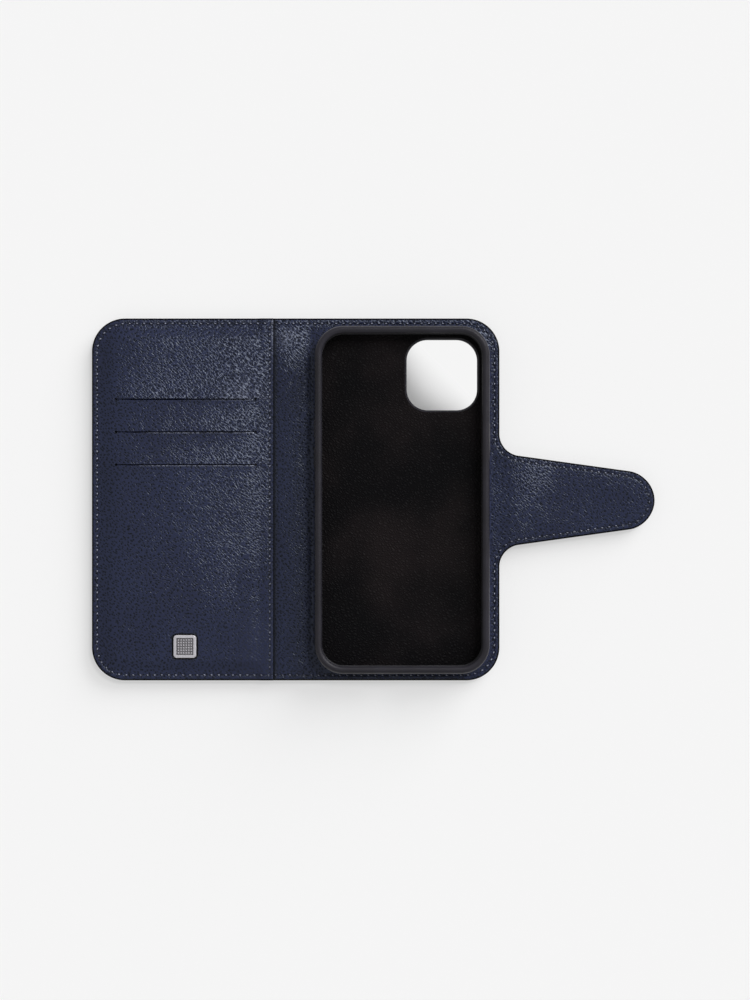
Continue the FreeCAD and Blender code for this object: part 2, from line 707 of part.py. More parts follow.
def build():
    """Every sub-part, by node name."""
    outer = outer_blank()
    lining = lining_blank()
    magnet_seat = magnet_space(MAGNET_PLAY)
    reinforcement_seat = reinforcement_plate(MAGNET_PLAY, Z_LINING + REINFORCEMENT)
    stiffener_seat = spine_stiffener_plate(MAGNET_PLAY, Z_LINING + REINFORCEMENT)
    parts = {
        "back_outer_leather": back_outer_leather(outer),
        "back_stiffener_board": back_stiffener_board(),
        "back_lining_leather": back_lining_leather(lining),
        "shell_bonding_sheet": shell_bonding_sheet(),
        "phone_shell": phone_shell(),
        "shell_floor_lining": shell_floor_lining(),
        "spine_outer_leather": between(outer, X_COVER_FOLD, X_SPINE_FOLD),
        "spine_stiffener": spine_stiffener_plate(0, Z_LINING + REINFORCEMENT),
        "spine_lining_leather": between(lining, X_COVER_FOLD, X_SPINE_FOLD).cut(stiffener_seat),
        "cover_outer_leather": between(outer, X_COVER, X_COVER_FOLD),
        "cover_stiffener_board": cover_stiffener_board(),
        "cover_hinge_lining": between(lining, X_STRIP, X_COVER_FOLD),
        "card_panel": card_panel(),
        "cover_keeper_plate": disc(
            X_KEEPER, STRAP_SHIFT_Y, KEEPER_RADIUS, Z_LINING, Z_LINING + KEEPER_THICKNESS
        ),
        "emblem_plate": emblem_plate(),
        "emblem_backing_washer": emblem_backing_washer(),
        "strap_riser_outer_leather": between(outer, X_ROOT_FOLD, X_STRAP_BEND),
        "strap_riser_lining": between(lining, X_ROOT_FOLD, X_STRAP_BEND),
        "strap_end_outer_leather": between(outer, X_STRAP_BEND, X_TIP).cut(magnet_seat),
        "strap_end_lining": between(lining, X_STRAP_BEND, X_TIP)
        .cut(magnet_seat)
        .cut(reinforcement_seat),
        "strap_reinforcement": reinforcement_plate(0, Z_LINING + REINFORCEMENT).cut(magnet_seat),
        "strap_magnet": magnet_space(0),
    }
    names = ("pocket_lining_top", "pocket_lining_middle", "pocket_lining_bottom")
    for index, (name, y) in enumerate(zip(names, slit_heights())):
        parts[name] = pocket_lining(index, y)
    for name, side, from_top, length in keys():
        parts[name] = key_cover(side, Y_PHONE_TOP - from_top, length)
    return parts


def main():
    """Write each sub-part to its own file."""
    os.makedirs("parts", exist_ok=True)
    for name, shape in build().items():
        solids = shape.Solids
        whole = solids[0] if len(solids) == 1 else Part.makeCompound(solids)
        whole.exportStep("parts/" + name + ".step")
        print(name, len(solids), round(whole.Volume, 2), whole.isValid())


main()
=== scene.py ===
"""Looks of a phone wallet case lying open: leather, sewn seams, moulded shell and badge.

Shapes are worked in millimetres and scaled to metres when a piece is finished.
"""

import json
import logging
import math
from dataclasses import dataclass, field
from enum import Enum
from typing import Any, Callable

import bmesh
import bpy
import numpy as np
from mathutils import Matrix, Vector


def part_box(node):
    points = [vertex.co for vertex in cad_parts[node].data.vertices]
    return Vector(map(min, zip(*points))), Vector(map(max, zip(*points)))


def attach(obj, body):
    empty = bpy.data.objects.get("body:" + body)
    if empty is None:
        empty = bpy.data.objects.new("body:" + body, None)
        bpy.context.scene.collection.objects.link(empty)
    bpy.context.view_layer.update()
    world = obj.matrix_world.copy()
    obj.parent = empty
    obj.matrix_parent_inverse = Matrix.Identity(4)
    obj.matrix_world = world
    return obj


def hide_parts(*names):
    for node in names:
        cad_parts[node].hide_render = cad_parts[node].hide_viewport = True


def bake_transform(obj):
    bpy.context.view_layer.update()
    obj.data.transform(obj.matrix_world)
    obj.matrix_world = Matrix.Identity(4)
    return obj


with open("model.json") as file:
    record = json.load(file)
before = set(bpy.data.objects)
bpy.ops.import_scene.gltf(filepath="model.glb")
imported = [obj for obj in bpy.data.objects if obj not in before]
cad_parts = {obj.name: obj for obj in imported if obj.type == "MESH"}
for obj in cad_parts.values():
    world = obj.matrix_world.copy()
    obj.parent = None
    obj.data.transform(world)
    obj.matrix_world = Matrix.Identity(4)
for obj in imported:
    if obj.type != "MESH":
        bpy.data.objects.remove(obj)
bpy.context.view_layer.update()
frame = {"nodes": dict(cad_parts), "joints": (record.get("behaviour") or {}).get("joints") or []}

LOG = logging.getLogger("wallet_case")
MM = 0.001
QUARTER = math.pi / 2
BATCH = 1500  # places measured at a time

# Millimetres.
NEAR = 0.01  # two places this close are one
CLEAR = 9.0  # far from any needle hole
SEAM_INSET = 2.3  # the sewing line, in from the cut edge
SHELL_WALL = 2.15
SHELL_CORNER = 12.65
PHONE_PLAY = 0.2  # between the phone and the shell's wall
WINDOW_CORNER = 9.2

Colour = tuple[float, float, float, float]
Notes = dict[str, np.ndarray]
FaceHeight = Callable[[np.ndarray, np.ndarray, np.ndarray, np.ndarray], np.ndarray]
HiddenHeight = Callable[[np.ndarray, np.ndarray, np.ndarray], np.ndarray]
FaceNotes = Callable[[np.ndarray, np.ndarray, np.ndarray], Notes]
Seam = tuple[tuple[float, ...], tuple[float, ...], float]
Piece = bpy.types.Object
Socket = bpy.types.NodeSocket


# ---------------------------------------------------------------- measures


def tint(red: float, green: float, blue: float) -> Colour:
    """A linear colour from display values of 0 to 255."""
    return (*(((v / 255 + 0.055) / 1.055) ** 2.4 if v > 10 else v / 3294.6
              for v in (red, green, blue)), 1.0)


def low(node: str) -> Vector:
    """A node's lowest corner in millimetres."""
    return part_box(node)[0] / MM


def high(node: str) -> Vector:
    """A node's highest corner in millimetres."""
    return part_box(node)[1] / MM


def fold_at(joint: str) -> float:
    """A fold's place along X in millimetres."""
    found = next(j for j in frame["joints"] if j["name"] == joint)
    return found["pos_m"][0] / MM


def smooth(value: np.ndarray) -> np.ndarray:
    """An even rise from 0 to 1 as the value goes from 0 to 1."""
    part = np.clip(value, 0.0, 1.0)
    return part * part * (3.0 - 2.0 * part)


def hump(value: np.ndarray, width: float) -> np.ndarray:
    """A bell of height 1 about zero."""
    return np.exp(-((value / width) ** 2))


def ripple(x: np.ndarray, y: np.ndarray) -> np.ndarray:
    """The slow, uneven wave of leather that lies unpressed, from -1 to 1.

    Args:
        x: Places along X.
        y: Places along Y.

    Returns:
        One level for each place.
    """
    waves = ((0.110, 0.050, 0.4), (-0.060, 0.120, 1.9), (0.170, -0.090, 4.1),
             (0.045, 0.021, 2.7), (-0.210, -0.060, 5.2), (0.090, 0.230, 3.3))
    total = sum(np.sin(a * x + b * y + c) for a, b, c in waves)
    return total / len(waves)


def rounded_gap(x: np.ndarray, y: np.ndarray, box: tuple[float, ...], corner: float) -> np.ndarray:
    """Distance outside a rectangle with round corners, negative inside it.

    Args:
        x: Places along X.
        y: Places along Y.
        box: The rectangle's two ends along X and two along Y.
        corner: Its corners' radius.

    Returns:
        One distance for each place.
    """
    x0, x1, y0, y1 = box
    dx = np.abs(x - (x0 + x1) / 2) - (x1 - x0) / 2 + corner
    dy = np.abs(y - (y0 + y1) / 2) - (y1 - y0) / 2 + corner
    outside = np.hypot(np.maximum(dx, 0), np.maximum(dy, 0))
    return outside + np.minimum(np.maximum(dx, dy), 0) - corner


# ---------------------------------------------------------------- bench work


class Pick(Enum):
    """What a selection in edit mode is made of."""

    VERTS = (True, False, False)
    EDGES = (False, True, False)
    FACES = (False, False, True)


def select_only(*pieces: Piece) -> None:
    """Select these pieces and nothing else, in object mode.

    Args:
        *pieces: The pieces to select.
    """
    if bpy.context.mode != "OBJECT":
        bpy.ops.object.mode_set(mode="OBJECT")
    bpy.ops.object.select_all(action="DESELECT")
    for piece in pieces:
        piece.select_set(True)
    if pieces:
        bpy.context.view_layer.objects.active = pieces[0]


def edit(piece: Piece) -> None:
    """Open a piece in edit mode."""
    select_only(piece)
    bpy.ops.object.mode_set(mode="EDIT")


def leave() -> Piece:
    """Go back to object mode and return the piece that was being edited."""
    bpy.ops.object.mode_set(mode="OBJECT")
    return bpy.context.object


def middle(part: Any) -> Vector:
    """The middle of a vertex, an edge or a face.

    Args:
        part: A vertex, an edge or a face.

    Returns:
        Its middle.
    """
    if isinstance(part, bmesh.types.BMVert):
        return part.co
    if isinstance(part, bmesh.types.BMEdge):
        return (part.verts[0].co + part.verts[1].co) / 2
    return part.calc_center_median()


def pick(kind: Pick, test: Callable[[Any], bool]) -> int:
    """Select what passes a test on the mesh in edit mode.

    Args:
        kind: Vertices, edges or faces.
        test: Says whether one of them is wanted.

    Returns:
        How many were found.
    """
    bpy.context.tool_settings.mesh_select_mode = kind.value
    mesh = bpy.context.object.data
    form = bmesh.from_edit_mesh(mesh)
    for part in (*form.faces, *form.edges, *form.verts):
        part.select_set(False)
    pool = {Pick.VERTS: form.verts, Pick.EDGES: form.edges, Pick.FACES: form.faces}[kind]
    found = [part for part in pool if test(part)]
    for part in found:
        part.select_set(True)
    form.select_flush_mode()
    bmesh.update_edit_mesh(mesh)
    return len(found)


def slice_at(axis: int, place: float, **keep: bool) -> None:
    """Cut the mesh in edit mode across X or Y, and drop a side when told to.

    Args:
        axis: 0 to cut across X, 1 to cut across Y.
        place: Where along that axis.
        **keep: Which side to clear, and whether to fill the cut.
    """
    normal = [0.0, 0.0, 0.0]
    normal[axis] = 1.0
    bpy.ops.mesh.select_all(action="SELECT")
    bpy.ops.mesh.bisect(plane_co=[place * n for n in normal], plane_no=normal, **keep)


def face_out() -> None:
    """Turn every face of the mesh in edit mode to look outwards."""
    bpy.ops.mesh.select_all(action="SELECT")
    bpy.ops.mesh.normals_make_consistent(inside=False)


def round_corners(test: Callable[[Any], bool], radius: float, turn: float, steps: int) -> None:
    """Round the outline's corners that pass a test, in the flat.

    Args:
        test: Says whether a corner is wanted.
        radius: The corners' radius.
        turn: How far the outline turns at a corner, in radians.
        steps: Segments in each corner.
    """
    pick(Pick.VERTS, test)
    bpy.ops.mesh.bevel(offset=radius * math.tan(turn / 2), segments=steps, profile=0.5,
                       affect="VERTICES", clamp_overlap=False)


def new_plate(name: str, box: tuple[float, ...], z: float) -> Piece:
    """A flat rectangle, left open in edit mode.

    Args:
        name: The piece's name.
        box: Its two ends along X and two along Y.
        z: Its height.

    Returns:
        The piece.
    """
    x0, x1, y0, y1 = box
    select_only()
    bpy.ops.mesh.primitive_plane_add(size=1)
    plate = bpy.context.object
    plate.name = plate.data.name = name
    edit(plate)
    bpy.ops.mesh.select_all(action="SELECT")
    bpy.ops.transform.resize(value=(x1 - x0, y1 - y0, 1), center_override=(0, 0, 0))
    bpy.ops.transform.translate(value=((x0 + x1) / 2, (y0 + y1) / 2, z))
    return plate


def rounded_plate(name: str, box: tuple[float, ...], corner: float, z: float, steps: int) -> Piece:
    """A flat rectangle with round corners, its face selected in edit mode.

    Args:
        name: The piece's name.
        box: Its two ends along X and two along Y.
        corner: Its corners' radius.
        z: Its height.
        steps: Segments in each corner.

    Returns:
        The piece.
    """
    plate = new_plate(name, box, z)
    round_corners(lambda v: True, corner, QUARTER, steps)
    pick(Pick.FACES, lambda f: True)
    return plate


def raise_face(height: float) -> None:
    """Extrude the selected face straight up, or down when negative."""
    bpy.ops.mesh.extrude_region_move(TRANSFORM_OT_translate={"value": (0, 0, height)})


def draw_in(*steps: tuple[float, float]) -> None:
    """Inset the selected face by steps of distance in and change in height."""
    for inward, rise in steps:
        bpy.ops.mesh.inset(thickness=inward, depth=rise)


def quarter_round(width: float, height: float, count: int, down: bool = False
                  ) -> list[tuple[float, float]]:
    """Inset steps that turn a wall's top edge over, or back down into a mouth.

    Args:
        width: How far it goes in.
        height: How far it goes up or down.
        count: How many steps it takes.
        down: True to go back down into a mouth.

    Returns:
        Steps of distance in and change in height.
    """
    turns = [QUARTER * i / count for i in range(count + 1)]
    steps = [(width * (math.cos(a) - math.cos(b)), height * (math.sin(b) - math.sin(a)))
             for a, b in zip(turns, turns[1:])]
    return [(t, -d) for t, d in reversed(steps)] if down else steps


def modify(piece: Piece, kind: str, **settings: Any) -> None:
    """Add one modifier to a piece and apply it.

    Args:
        piece: The piece.
        kind: The modifier's type.
        **settings: Its options.
    """
    select_only(piece)
    modifier = piece.modifiers.new(kind.lower(), kind)
    for key, value in settings.items():
        setattr(modifier, key, value)
    bpy.ops.object.modifier_apply(modifier=modifier.name)


def bore(piece: Piece, *cutters: Piece) -> None:
    """Cut pieces out of a piece and throw the cutters away.

    Args:
        piece: The piece to cut.
        *cutters: The pieces to cut out of it.
    """
    for cutter in cutters:
        modify(piece, "BOOLEAN", object=cutter, operation="DIFFERENCE", solver="EXACT")
        bpy.data.objects.remove(cutter)


def copy_of(piece: Piece, name: str) -> Piece:
    """A copy of a piece with its own mesh.

    Args:
        piece: The piece to copy.
        name: The copy's name.

    Returns:
        The copy.
    """
    twin = piece.copy()
    twin.data = piece.data.copy()
    twin.name = twin.data.name = name
    bpy.context.scene.collection.objects.link(twin)
    return twin


def weld(pieces: list[Piece], name: str) -> Piece:
    """Join pieces into one under a name.

    Args:
        pieces: The pieces to join.
        name: The joined piece's name.

    Returns:
        The joined piece.
    """
    select_only(*pieces)
    bpy.ops.object.join()
    whole = bpy.context.object
    whole.name = whole.data.name = name
    return whole


def places(piece: Piece) -> np.ndarray:
    """A piece's vertices as rows of x, y and z.

    Args:
        piece: The piece.

    Returns:
        One row for each vertex.
    """
    spots = np.empty(len(piece.data.vertices) * 3, np.float32)
    piece.data.vertices.foreach_get("co", spots)
    return spots.reshape(-1, 3).astype(float)


def set_places(piece: Piece, spots: np.ndarray) -> None:
    """Move a piece's vertices to these rows of x, y and z."""
    piece.data.vertices.foreach_set("co", spots.astype(np.float32).ravel())
    piece.data.update()


def note(piece: Piece, name: str, values: np.ndarray) -> None:
    """Keep a number or a place for each vertex on a piece, for its finish to read.

    Args:
        piece: The piece.
        name: The note's name.
        values: One number or one place for each vertex.
    """
    kind, key = ("FLOAT_VECTOR", "vector") if values.ndim > 1 else ("FLOAT", "value")
    layer = piece.data.attributes.new(name, kind, "POINT")
    layer.data.foreach_set(key, values.astype(np.float32).ravel())


def noted(piece: Piece, name: str) -> np.ndarray:
    """The number kept under a name for each vertex of a piece.

    Args:
        piece: The piece.
        name: The note's name.

    Returns:
        One number for each vertex.
    """
    values = np.empty(len(piece.data.vertices), np.float32)
    piece.data.attributes[name].data.foreach_get("value", values)
    return values


def finish(piece: Piece, material: bpy.types.Material, angle: float = 35.0) -> Piece:
    """Scale a piece to metres, shade it smooth and give it its finish.

    Args:
        piece: The piece.
        material: Its finish.
        angle: Edges flatter than this many degrees are shaded smooth.

    Returns:
        The piece.
    """
    select_only(piece)
    piece.scale = (MM, MM, MM)
    bpy.ops.object.transform_apply(location=True, rotation=True, scale=True)
    bpy.ops.object.shade_smooth_by_angle(angle=math.radians(angle))
    piece.data.materials.clear()
    piece.data.materials.append(material)
    LOG.info("%s: %d faces", piece.name, len(piece.data.polygons))
    return piece


# ---------------------------------------------------------------- finishes


class Nodes:
    """A material's nodes, laid out by short calls."""

    def __init__(self, name: str) -> None:
        """Start an empty material."""
        self.material = bpy.data.materials.new(name)
        self.material.use_nodes = True
        self.tree = self.material.node_tree
        self.tree.nodes.clear()

    def add(self, kind: str, output: int | str = 0, inputs: dict | None = None,
            **settings: Any) -> Socket:
        """Add a node.

        Args:
            kind: The node's type without its usual first word.
            output: Which of its outputs is wanted.
            inputs: Values or sockets for its inputs, by name or number.
            **settings: The node's own options.

        Returns:
            The output asked for.
        """
        node = self.tree.nodes.new("ShaderNode" + kind)
        for key, value in settings.items():
            setattr(node, key, value)
        for key, value in (inputs or {}).items():
            if isinstance(value, bpy.types.NodeSocket):
                self.tree.links.new(value, node.inputs[key])
            else:
                node.inputs[key].default_value = value
        return node.outputs[output]

    def math(self, operation: str, *values: Any) -> Socket:
        """Reckon with one, two or three numbers."""
        return self.add("Math", 0, dict(enumerate(values)), operation=operation)

    def vector(self, operation: str, inputs: dict) -> Socket:
        """Reckon with places or directions."""
        return self.add("VectorMath", 0, inputs, operation=operation)

    def span(self, value: Socket, start: float, end: float, to: tuple[float, float] = (0.0, 1.0)
             ) -> Socket:
        """Spread a value smoothly from one range over another.

        Args:
            value: What to spread.
            start: Where its range starts.
            end: Where its range ends.
            to: The range to spread it over.

        Returns:
            The spread value.
        """
        inputs = {"Value": value, "From Min": start, "From Max": end,
                  "To Min": to[0], "To Max": to[1]}
        return self.add("MapRange", 0, inputs, interpolation_type="SMOOTHSTEP")

    def blend(self, factor: Socket, first: Any, second: Any) -> Socket:
        """Mix two colours."""
        return self.add("Mix", 2, {0: factor, 6: first, 7: second}, data_type="RGBA")

    def noise(self, vector: Socket, size: float, detail: float = 2.0) -> Socket:
        """Cloudy noise with features of about a size in millimetres."""
        inputs = {"Vector": vector, "Scale": 1 / (size * MM), "Detail": detail}
        return self.add("TexNoise", "Fac", inputs)

    def sway(self, vector: Socket, size: float, reach: float) -> Socket:
        """Push places about by noise of a size and a reach in millimetres.

        Args:
            vector: The places.
            size: The noise's size.
            reach: How far it pushes.

        Returns:
            The pushed places.
        """
        flow = self.add("TexNoise", "Color", {"Vector": vector, "Scale": 1 / (size * MM),
                                              "Detail": 1.0})
        push = self.vector("SUBTRACT", {0: flow, 1: (0.5, 0.5, 0.5)})
        push = self.vector("SCALE", {0: push, "Scale": reach * MM})
        return self.vector("ADD", {0: vector, 1: push})

    def cells(self, vector: Socket, size: tuple[float, float, float], turn: float = 0.0
              ) -> Socket:
        """Places turned by degrees and measured in cells of a size in millimetres.

        Args:
            vector: The places.
            size: A cell's size along X, Y and Z.
            turn: How far the cells are turned.

        Returns:
            The places in cells.
        """
        inputs = {"Vector": vector, "Rotation": (0, 0, math.radians(turn)),
                  "Scale": tuple(side * MM for side in size)}
        return self.add("Mapping", 0, inputs, vector_type="TEXTURE")

    def bump(self, height: Socket, strength: float, reach: float, **inputs: Socket) -> Socket:
        """Turn a height into a bump that reaches so many millimetres."""
        return self.add("Bump", 0, {"Height": height, "Strength": strength,
                                    "Distance": reach * MM, **inputs})

    def close(self, colour: Socket, rough: Socket, normal: Socket, more: dict | None = None
              ) -> bpy.types.Material:
        """End the material in a plain surface.

        Args:
            colour: Its colour.
            rough: Its roughness.
            normal: Its bump.
            more: Values for its other inputs, by name.

        Returns:
            The material.
        """
        inputs = {"Base Color": colour, "Roughness": rough, "Normal": normal, **(more or {})}
        return self.end(self.add("BsdfPrincipled", 0, inputs))

    def end(self, surface: Socket) -> bpy.types.Material:
        """End the material in a surface.

        Args:
            surface: The surface.

        Returns:
            The material.
        """
        output = self.tree.nodes.new("ShaderNodeOutputMaterial")
        self.tree.links.new(surface, output.inputs["Surface"])
        return self.material


@dataclass(frozen=True)
class GrainedLeather:
    """Drummed, dyed leather: small pits darkened with painted shade, and fine creases that all run
    one way.
    """

    name: str
    dye: Colour
    bloom: Colour
    # The colour of the painted shade in the grain's pits.
    pit_shade: Colour = tint(2, 3, 8)
    # The painted highlight's pale colour.
    highlight_paint: Colour = tint(126, 130, 146)
    shine: Colour = tint(236, 246, 255)
    lay: float = -42.0
    pit_cell: tuple[float, float, float] = (1.75, 1.03, 1.03)
    pit_span: tuple[float, float] = (0.14, 0.52)
    crease_cell: tuple[float, float, float] = (2.6, 0.64, 0.64)
    crease_share: float = 2.3
    relief: float = 0.12
    calm: float = 0.28
    gloss: float = 0.21
    dull: float = 0.9
    light_way: tuple[float, float, float] = (0.38, 0.41, 0.0)

    def grain(self, n: Nodes, place: Socket, opened: Socket) -> tuple[Socket, Socket]:
        """The grain's height, and how deep each place lies in a pit or an opened crease.

        Args:
            n: The material's nodes.
            place: Flat places on the leather.
            opened: How far the grain opens.

        Returns:
            The height and the depth.
        """
        bent = n.sway(n.sway(place, 8.0, 3.0), 1.5, 0.6)
        pits = {"Vector": n.cells(bent, self.pit_cell, self.lay), "Scale": 1.0,
                "Randomness": 0.75}
        away = n.add("TexVoronoi", "Distance", pits, voronoi_dimensions="2D")
        level = n.span(away, *self.pit_span)
        folds = {"Vector": n.cells(bent, self.crease_cell, self.lay), "Scale": 1.0,
                 "Detail": 1.0, "Roughness": 0.55}
        crease = n.add("TexNoise", "Fac", folds, noise_dimensions="2D")
        height = n.math("MULTIPLY_ADD", crease, self.crease_share, n.math("MULTIPLY", level, 0.9))
        uneven = n.span(n.noise(place, 1.3), 0.35, 0.6, (0.7, 1.0))
        pit = n.math("MULTIPLY", n.span(level, 0.8, 0.0), uneven)
        gap = n.math("MULTIPLY", n.span(crease, 0.46, 0.34, (0.0, 0.7)), opened)
        return n.math("MULTIPLY", height, opened), n.math("MAXIMUM", pit, gap)

    def make(self) -> bpy.types.Material:
        """Build the material, which reads what is noted on the leather's face.

        Returns:
            The material. Where the note "lean" is high the face slopes to the light, "crease"
            opens the grain or, below zero, closes its pits, and two more notes paint a pale
            highlight and a near-black shade on it.
        """
        n = Nodes(self.name)
        place = n.add("Attribute", "Vector", attribute_name="flat")
        lean, crease, wear, hollow = (n.add("Attribute", "Fac", attribute_name=name)
                                      for name in ("lean", "crease", "wear", "hollow"))
        opened = n.span(crease, 0.0, 1.0, (self.calm, 1.0))
        height, pit = self.grain(n, place, opened)
        pit = n.math("MULTIPLY", pit, n.span(crease, -0.3, 0.0, (0.45, 1.0)))
        cloud = n.noise(place, 34.0, 4.0)
        colour = n.blend(n.span(cloud, 0.34, 0.68), self.dye, self.bloom)
        # Painted shade: darker in the grain's pits and in its opened creases.
        colour = n.blend(n.math("MULTIPLY", pit, 0.9), colour, self.pit_shade)
        # Painted highlight: pale patches where the face would catch the light, kept out of the
        # pits.
        highlight_patches = n.math("MULTIPLY", wear, n.span(n.noise(place, 5.0), 0.4, 0.56, (0.45, 1.0)))
        highlight_patches = n.math("MULTIPLY", highlight_patches, n.span(pit, 0.05, 0.5, (1.0, 0.2)))
        colour = n.blend(highlight_patches, colour, self.highlight_paint)
        # Painted shade, near black, in needle holes, creases and the gap round the badge.
        colour = n.blend(hollow, colour, tint(1, 1, 2))
        rough = n.span(n.math("MAXIMUM", pit, hollow), 0.0, 1.0, (self.gloss, self.dull))
        slope = n.vector("SCALE", {0: self.light_way, "Scale": lean})
        normal = n.vector("ADD", {0: n.add("NewGeometry", "Normal"), 1: slope})
        normal = n.vector("NORMALIZE", {0: normal})
        bump = n.bump(height, 1.0, self.relief, Normal=normal)
        return n.close(colour, rough, bump, {"Specular IOR Level": 0.5,
                                             "Specular Tint": self.shine})


@dataclass(frozen=True)
class EdgePaint:
    """Matt black paint, brushed along the cut edge."""

    name: str
    colour: Colour
    thin: Colour

    def make(self) -> bpy.types.Material:
        """Build the material.

        Returns:
            The material.
        """
        n = Nodes(self.name)
        place = n.add("TexCoord", "Object")
        brushed = n.noise(place, 1.1, 3.0)
        colour = n.blend(n.span(brushed, 0.5, 0.75), self.colour, self.thin)
        rough = n.span(brushed, 0.3, 0.7, (0.75, 0.6))
        return n.close(colour, rough, n.bump(brushed, 0.5, 0.05), {"Specular IOR Level": 0.08})


@dataclass(frozen=True)
class TwistedThread:
    """Waxed two-ply thread, dyed to the leather, with a painted highlight on each stitch's crown.
    """

    name: str
    dye: Colour
    # The painted highlight's colour.
    highlight_paint: Colour

    def make(self) -> bpy.types.Material:
        """Build the material.

        Returns:
            The material.
        """
        n = Nodes(self.name)
        place = n.add("TexCoord", "Object")
        along = n.add("TexCoord", "UV")
        ply = n.add("TexWave", "Fac", {"Vector": along, "Scale": 2.2, "Distortion": 0.6},
                    wave_type="BANDS", bands_direction="DIAGONAL")
        # Painted highlight on each stitch's crown, broken up by noise.
        wear = n.noise(place, 2.2, 2.0)
        crown = n.math("MULTIPLY", n.add("Attribute", "Fac", attribute_name="crown"),
                       n.span(wear, 0.3, 0.6, (0.55, 1.0)))
        colour = n.blend(crown, self.dye, self.highlight_paint)
        rough = n.span(ply, 0.0, 1.0, (0.34, 0.2))
        return n.close(colour, rough, n.bump(ply, 0.7, 0.08), {"Sheen Weight": 0.1,
                                                               "Sheen Roughness": 0.5})


@dataclass(frozen=True)
class SoftMoulding:
    """Soft-touch moulded plastic."""

    name: str
    colour: Colour
    paler: Colour
    gloss: float = 0.45
    shine: float = 0.45

    def make(self) -> bpy.types.Material:
        """Build the material.

        Returns:
            The material.
        """
        n = Nodes(self.name)
        place = n.add("TexCoord", "Object")
        cloud = n.noise(place, 12.0, 3.0)
        colour = n.blend(n.span(cloud, 0.35, 0.7), self.colour, self.paler)
        grit = n.noise(place, 0.16, 2.0)
        rough = n.span(cloud, 0.3, 0.7, (self.gloss + 0.05, self.gloss - 0.05))
        return n.close(colour, rough, n.bump(grit, 0.35, 0.03),
                       {"Specular IOR Level": self.shine})


@dataclass(frozen=True)
class GrainedSheet:
    """Thin dark sheet with a fine pressed grain, as on the shell's floor."""

    name: str
    colour: Colour
    warm: Colour
    cell: tuple[float, float, float] = (1.9, 0.9, 0.9)
    lay: float = -35.0

    def make(self) -> bpy.types.Material:
        """Build the material.

        Returns:
            The material.
        """
        n = Nodes(self.name)
        place = n.add("TexCoord", "Object")
        bent = n.sway(n.sway(place, 4.0, 1.6), 0.8, 0.3)
        laid = n.cells(bent, self.cell, self.lay)
        edge = n.add("TexVoronoi", "Distance", {"Vector": laid, "Scale": 1.0},
                     feature="DISTANCE_TO_EDGE")
        pebble = n.span(edge, 0.0, 0.35)
        cloud = n.noise(place, 45.0, 3.0)
        colour = n.blend(n.span(cloud, 0.4, 0.7), self.colour, self.warm)
        rough = n.span(pebble, 0.0, 1.0, (0.8, 0.5))
        return n.close(colour, rough, n.bump(pebble, 1.0, 0.2), {"Specular IOR Level": 0.15})


@dataclass(frozen=True)
class BrushedMetal:
    """Satin metal with fine rubbing marks, and painted shade in what is sunk."""

    name: str
    colour: Colour
    shade: Colour
    # The colour of the painted shade in what is sunk.
    sunk_shade: Colour = tint(60, 58, 60)
    rough: float = 0.34
    metal: float = 1.0

    def make(self) -> bpy.types.Material:
        """Build the material.

        Returns:
            The material.
        """
        n = Nodes(self.name)
        place = n.add("TexCoord", "Object")
        drawn = n.cells(place, (3.0, 0.12, 0.5))
        marks = n.add("TexNoise", "Fac", {"Vector": drawn, "Scale": 1.0, "Detail": 3.0})
        colour = n.blend(marks, self.shade, self.colour)
        hollow = n.add("Attribute", "Fac", attribute_name="hollow")
        # Painted shade where the plate is sunk.
        colour = n.blend(hollow, colour, self.sunk_shade)
        rough = n.span(marks, 0.3, 0.7, (self.rough + 0.08, self.rough - 0.06))
        return n.close(colour, rough, n.bump(marks, 0.3, 0.02), {"Metallic": self.metal})


@dataclass(frozen=True)
class PressedBoard:
    """Grey-brown pressed board, or adhesive sheet, with short fibres."""

    name: str
    colour: Colour
    fibre: Colour
    rough: float = 0.85

    def make(self) -> bpy.types.Material:
        """Build the material.

        Returns:
            The material.
        """
        n = Nodes(self.name)
        place = n.add("TexCoord", "Object")
        drawn = n.cells(place, (1.4, 0.3, 0.3))
        fibres = n.add("TexNoise", "Fac", {"Vector": drawn, "Scale": 1.0, "Detail": 4.0})
        colour = n.blend(n.span(fibres, 0.4, 0.65), self.colour, self.fibre)
        rough = n.span(fibres, 0.3, 0.7, (self.rough + 0.05, self.rough - 0.05))
        return n.close(colour, rough, n.bump(fibres, 0.5, 0.05))


@dataclass(frozen=True)
class TwillFabric:
    """Fine dark twill, as pocket linings are cut from."""

    name: str
    warp: Colour
    weft: Colour
    pitch: float = 0.42

    def make(self) -> bpy.types.Material:
        """Build the material.

        Returns:
            The material.
        """
        n = Nodes(self.name)
        place = n.add("TexCoord", "Object")
        scale = 1 / (self.pitch * MM * 2 * math.pi)
        ribs = n.add("TexWave", "Fac", {"Vector": place, "Scale": scale * 2, "Distortion": 0.4},
                     wave_type="BANDS", bands_direction="DIAGONAL")
        fuzz = n.noise(place, 0.5, 3.0)
        colour = n.blend(ribs, self.weft, self.warp)
        height = n.math("MULTIPLY_ADD", fuzz, 0.5, ribs)
        rough = n.span(ribs, 0.0, 1.0, (0.92, 0.78))
        return n.close(colour, rough, n.bump(height, 0.6, 0.08), {"Sheen Weight": 0.2})


# ---------------------------------------------------------------- leather


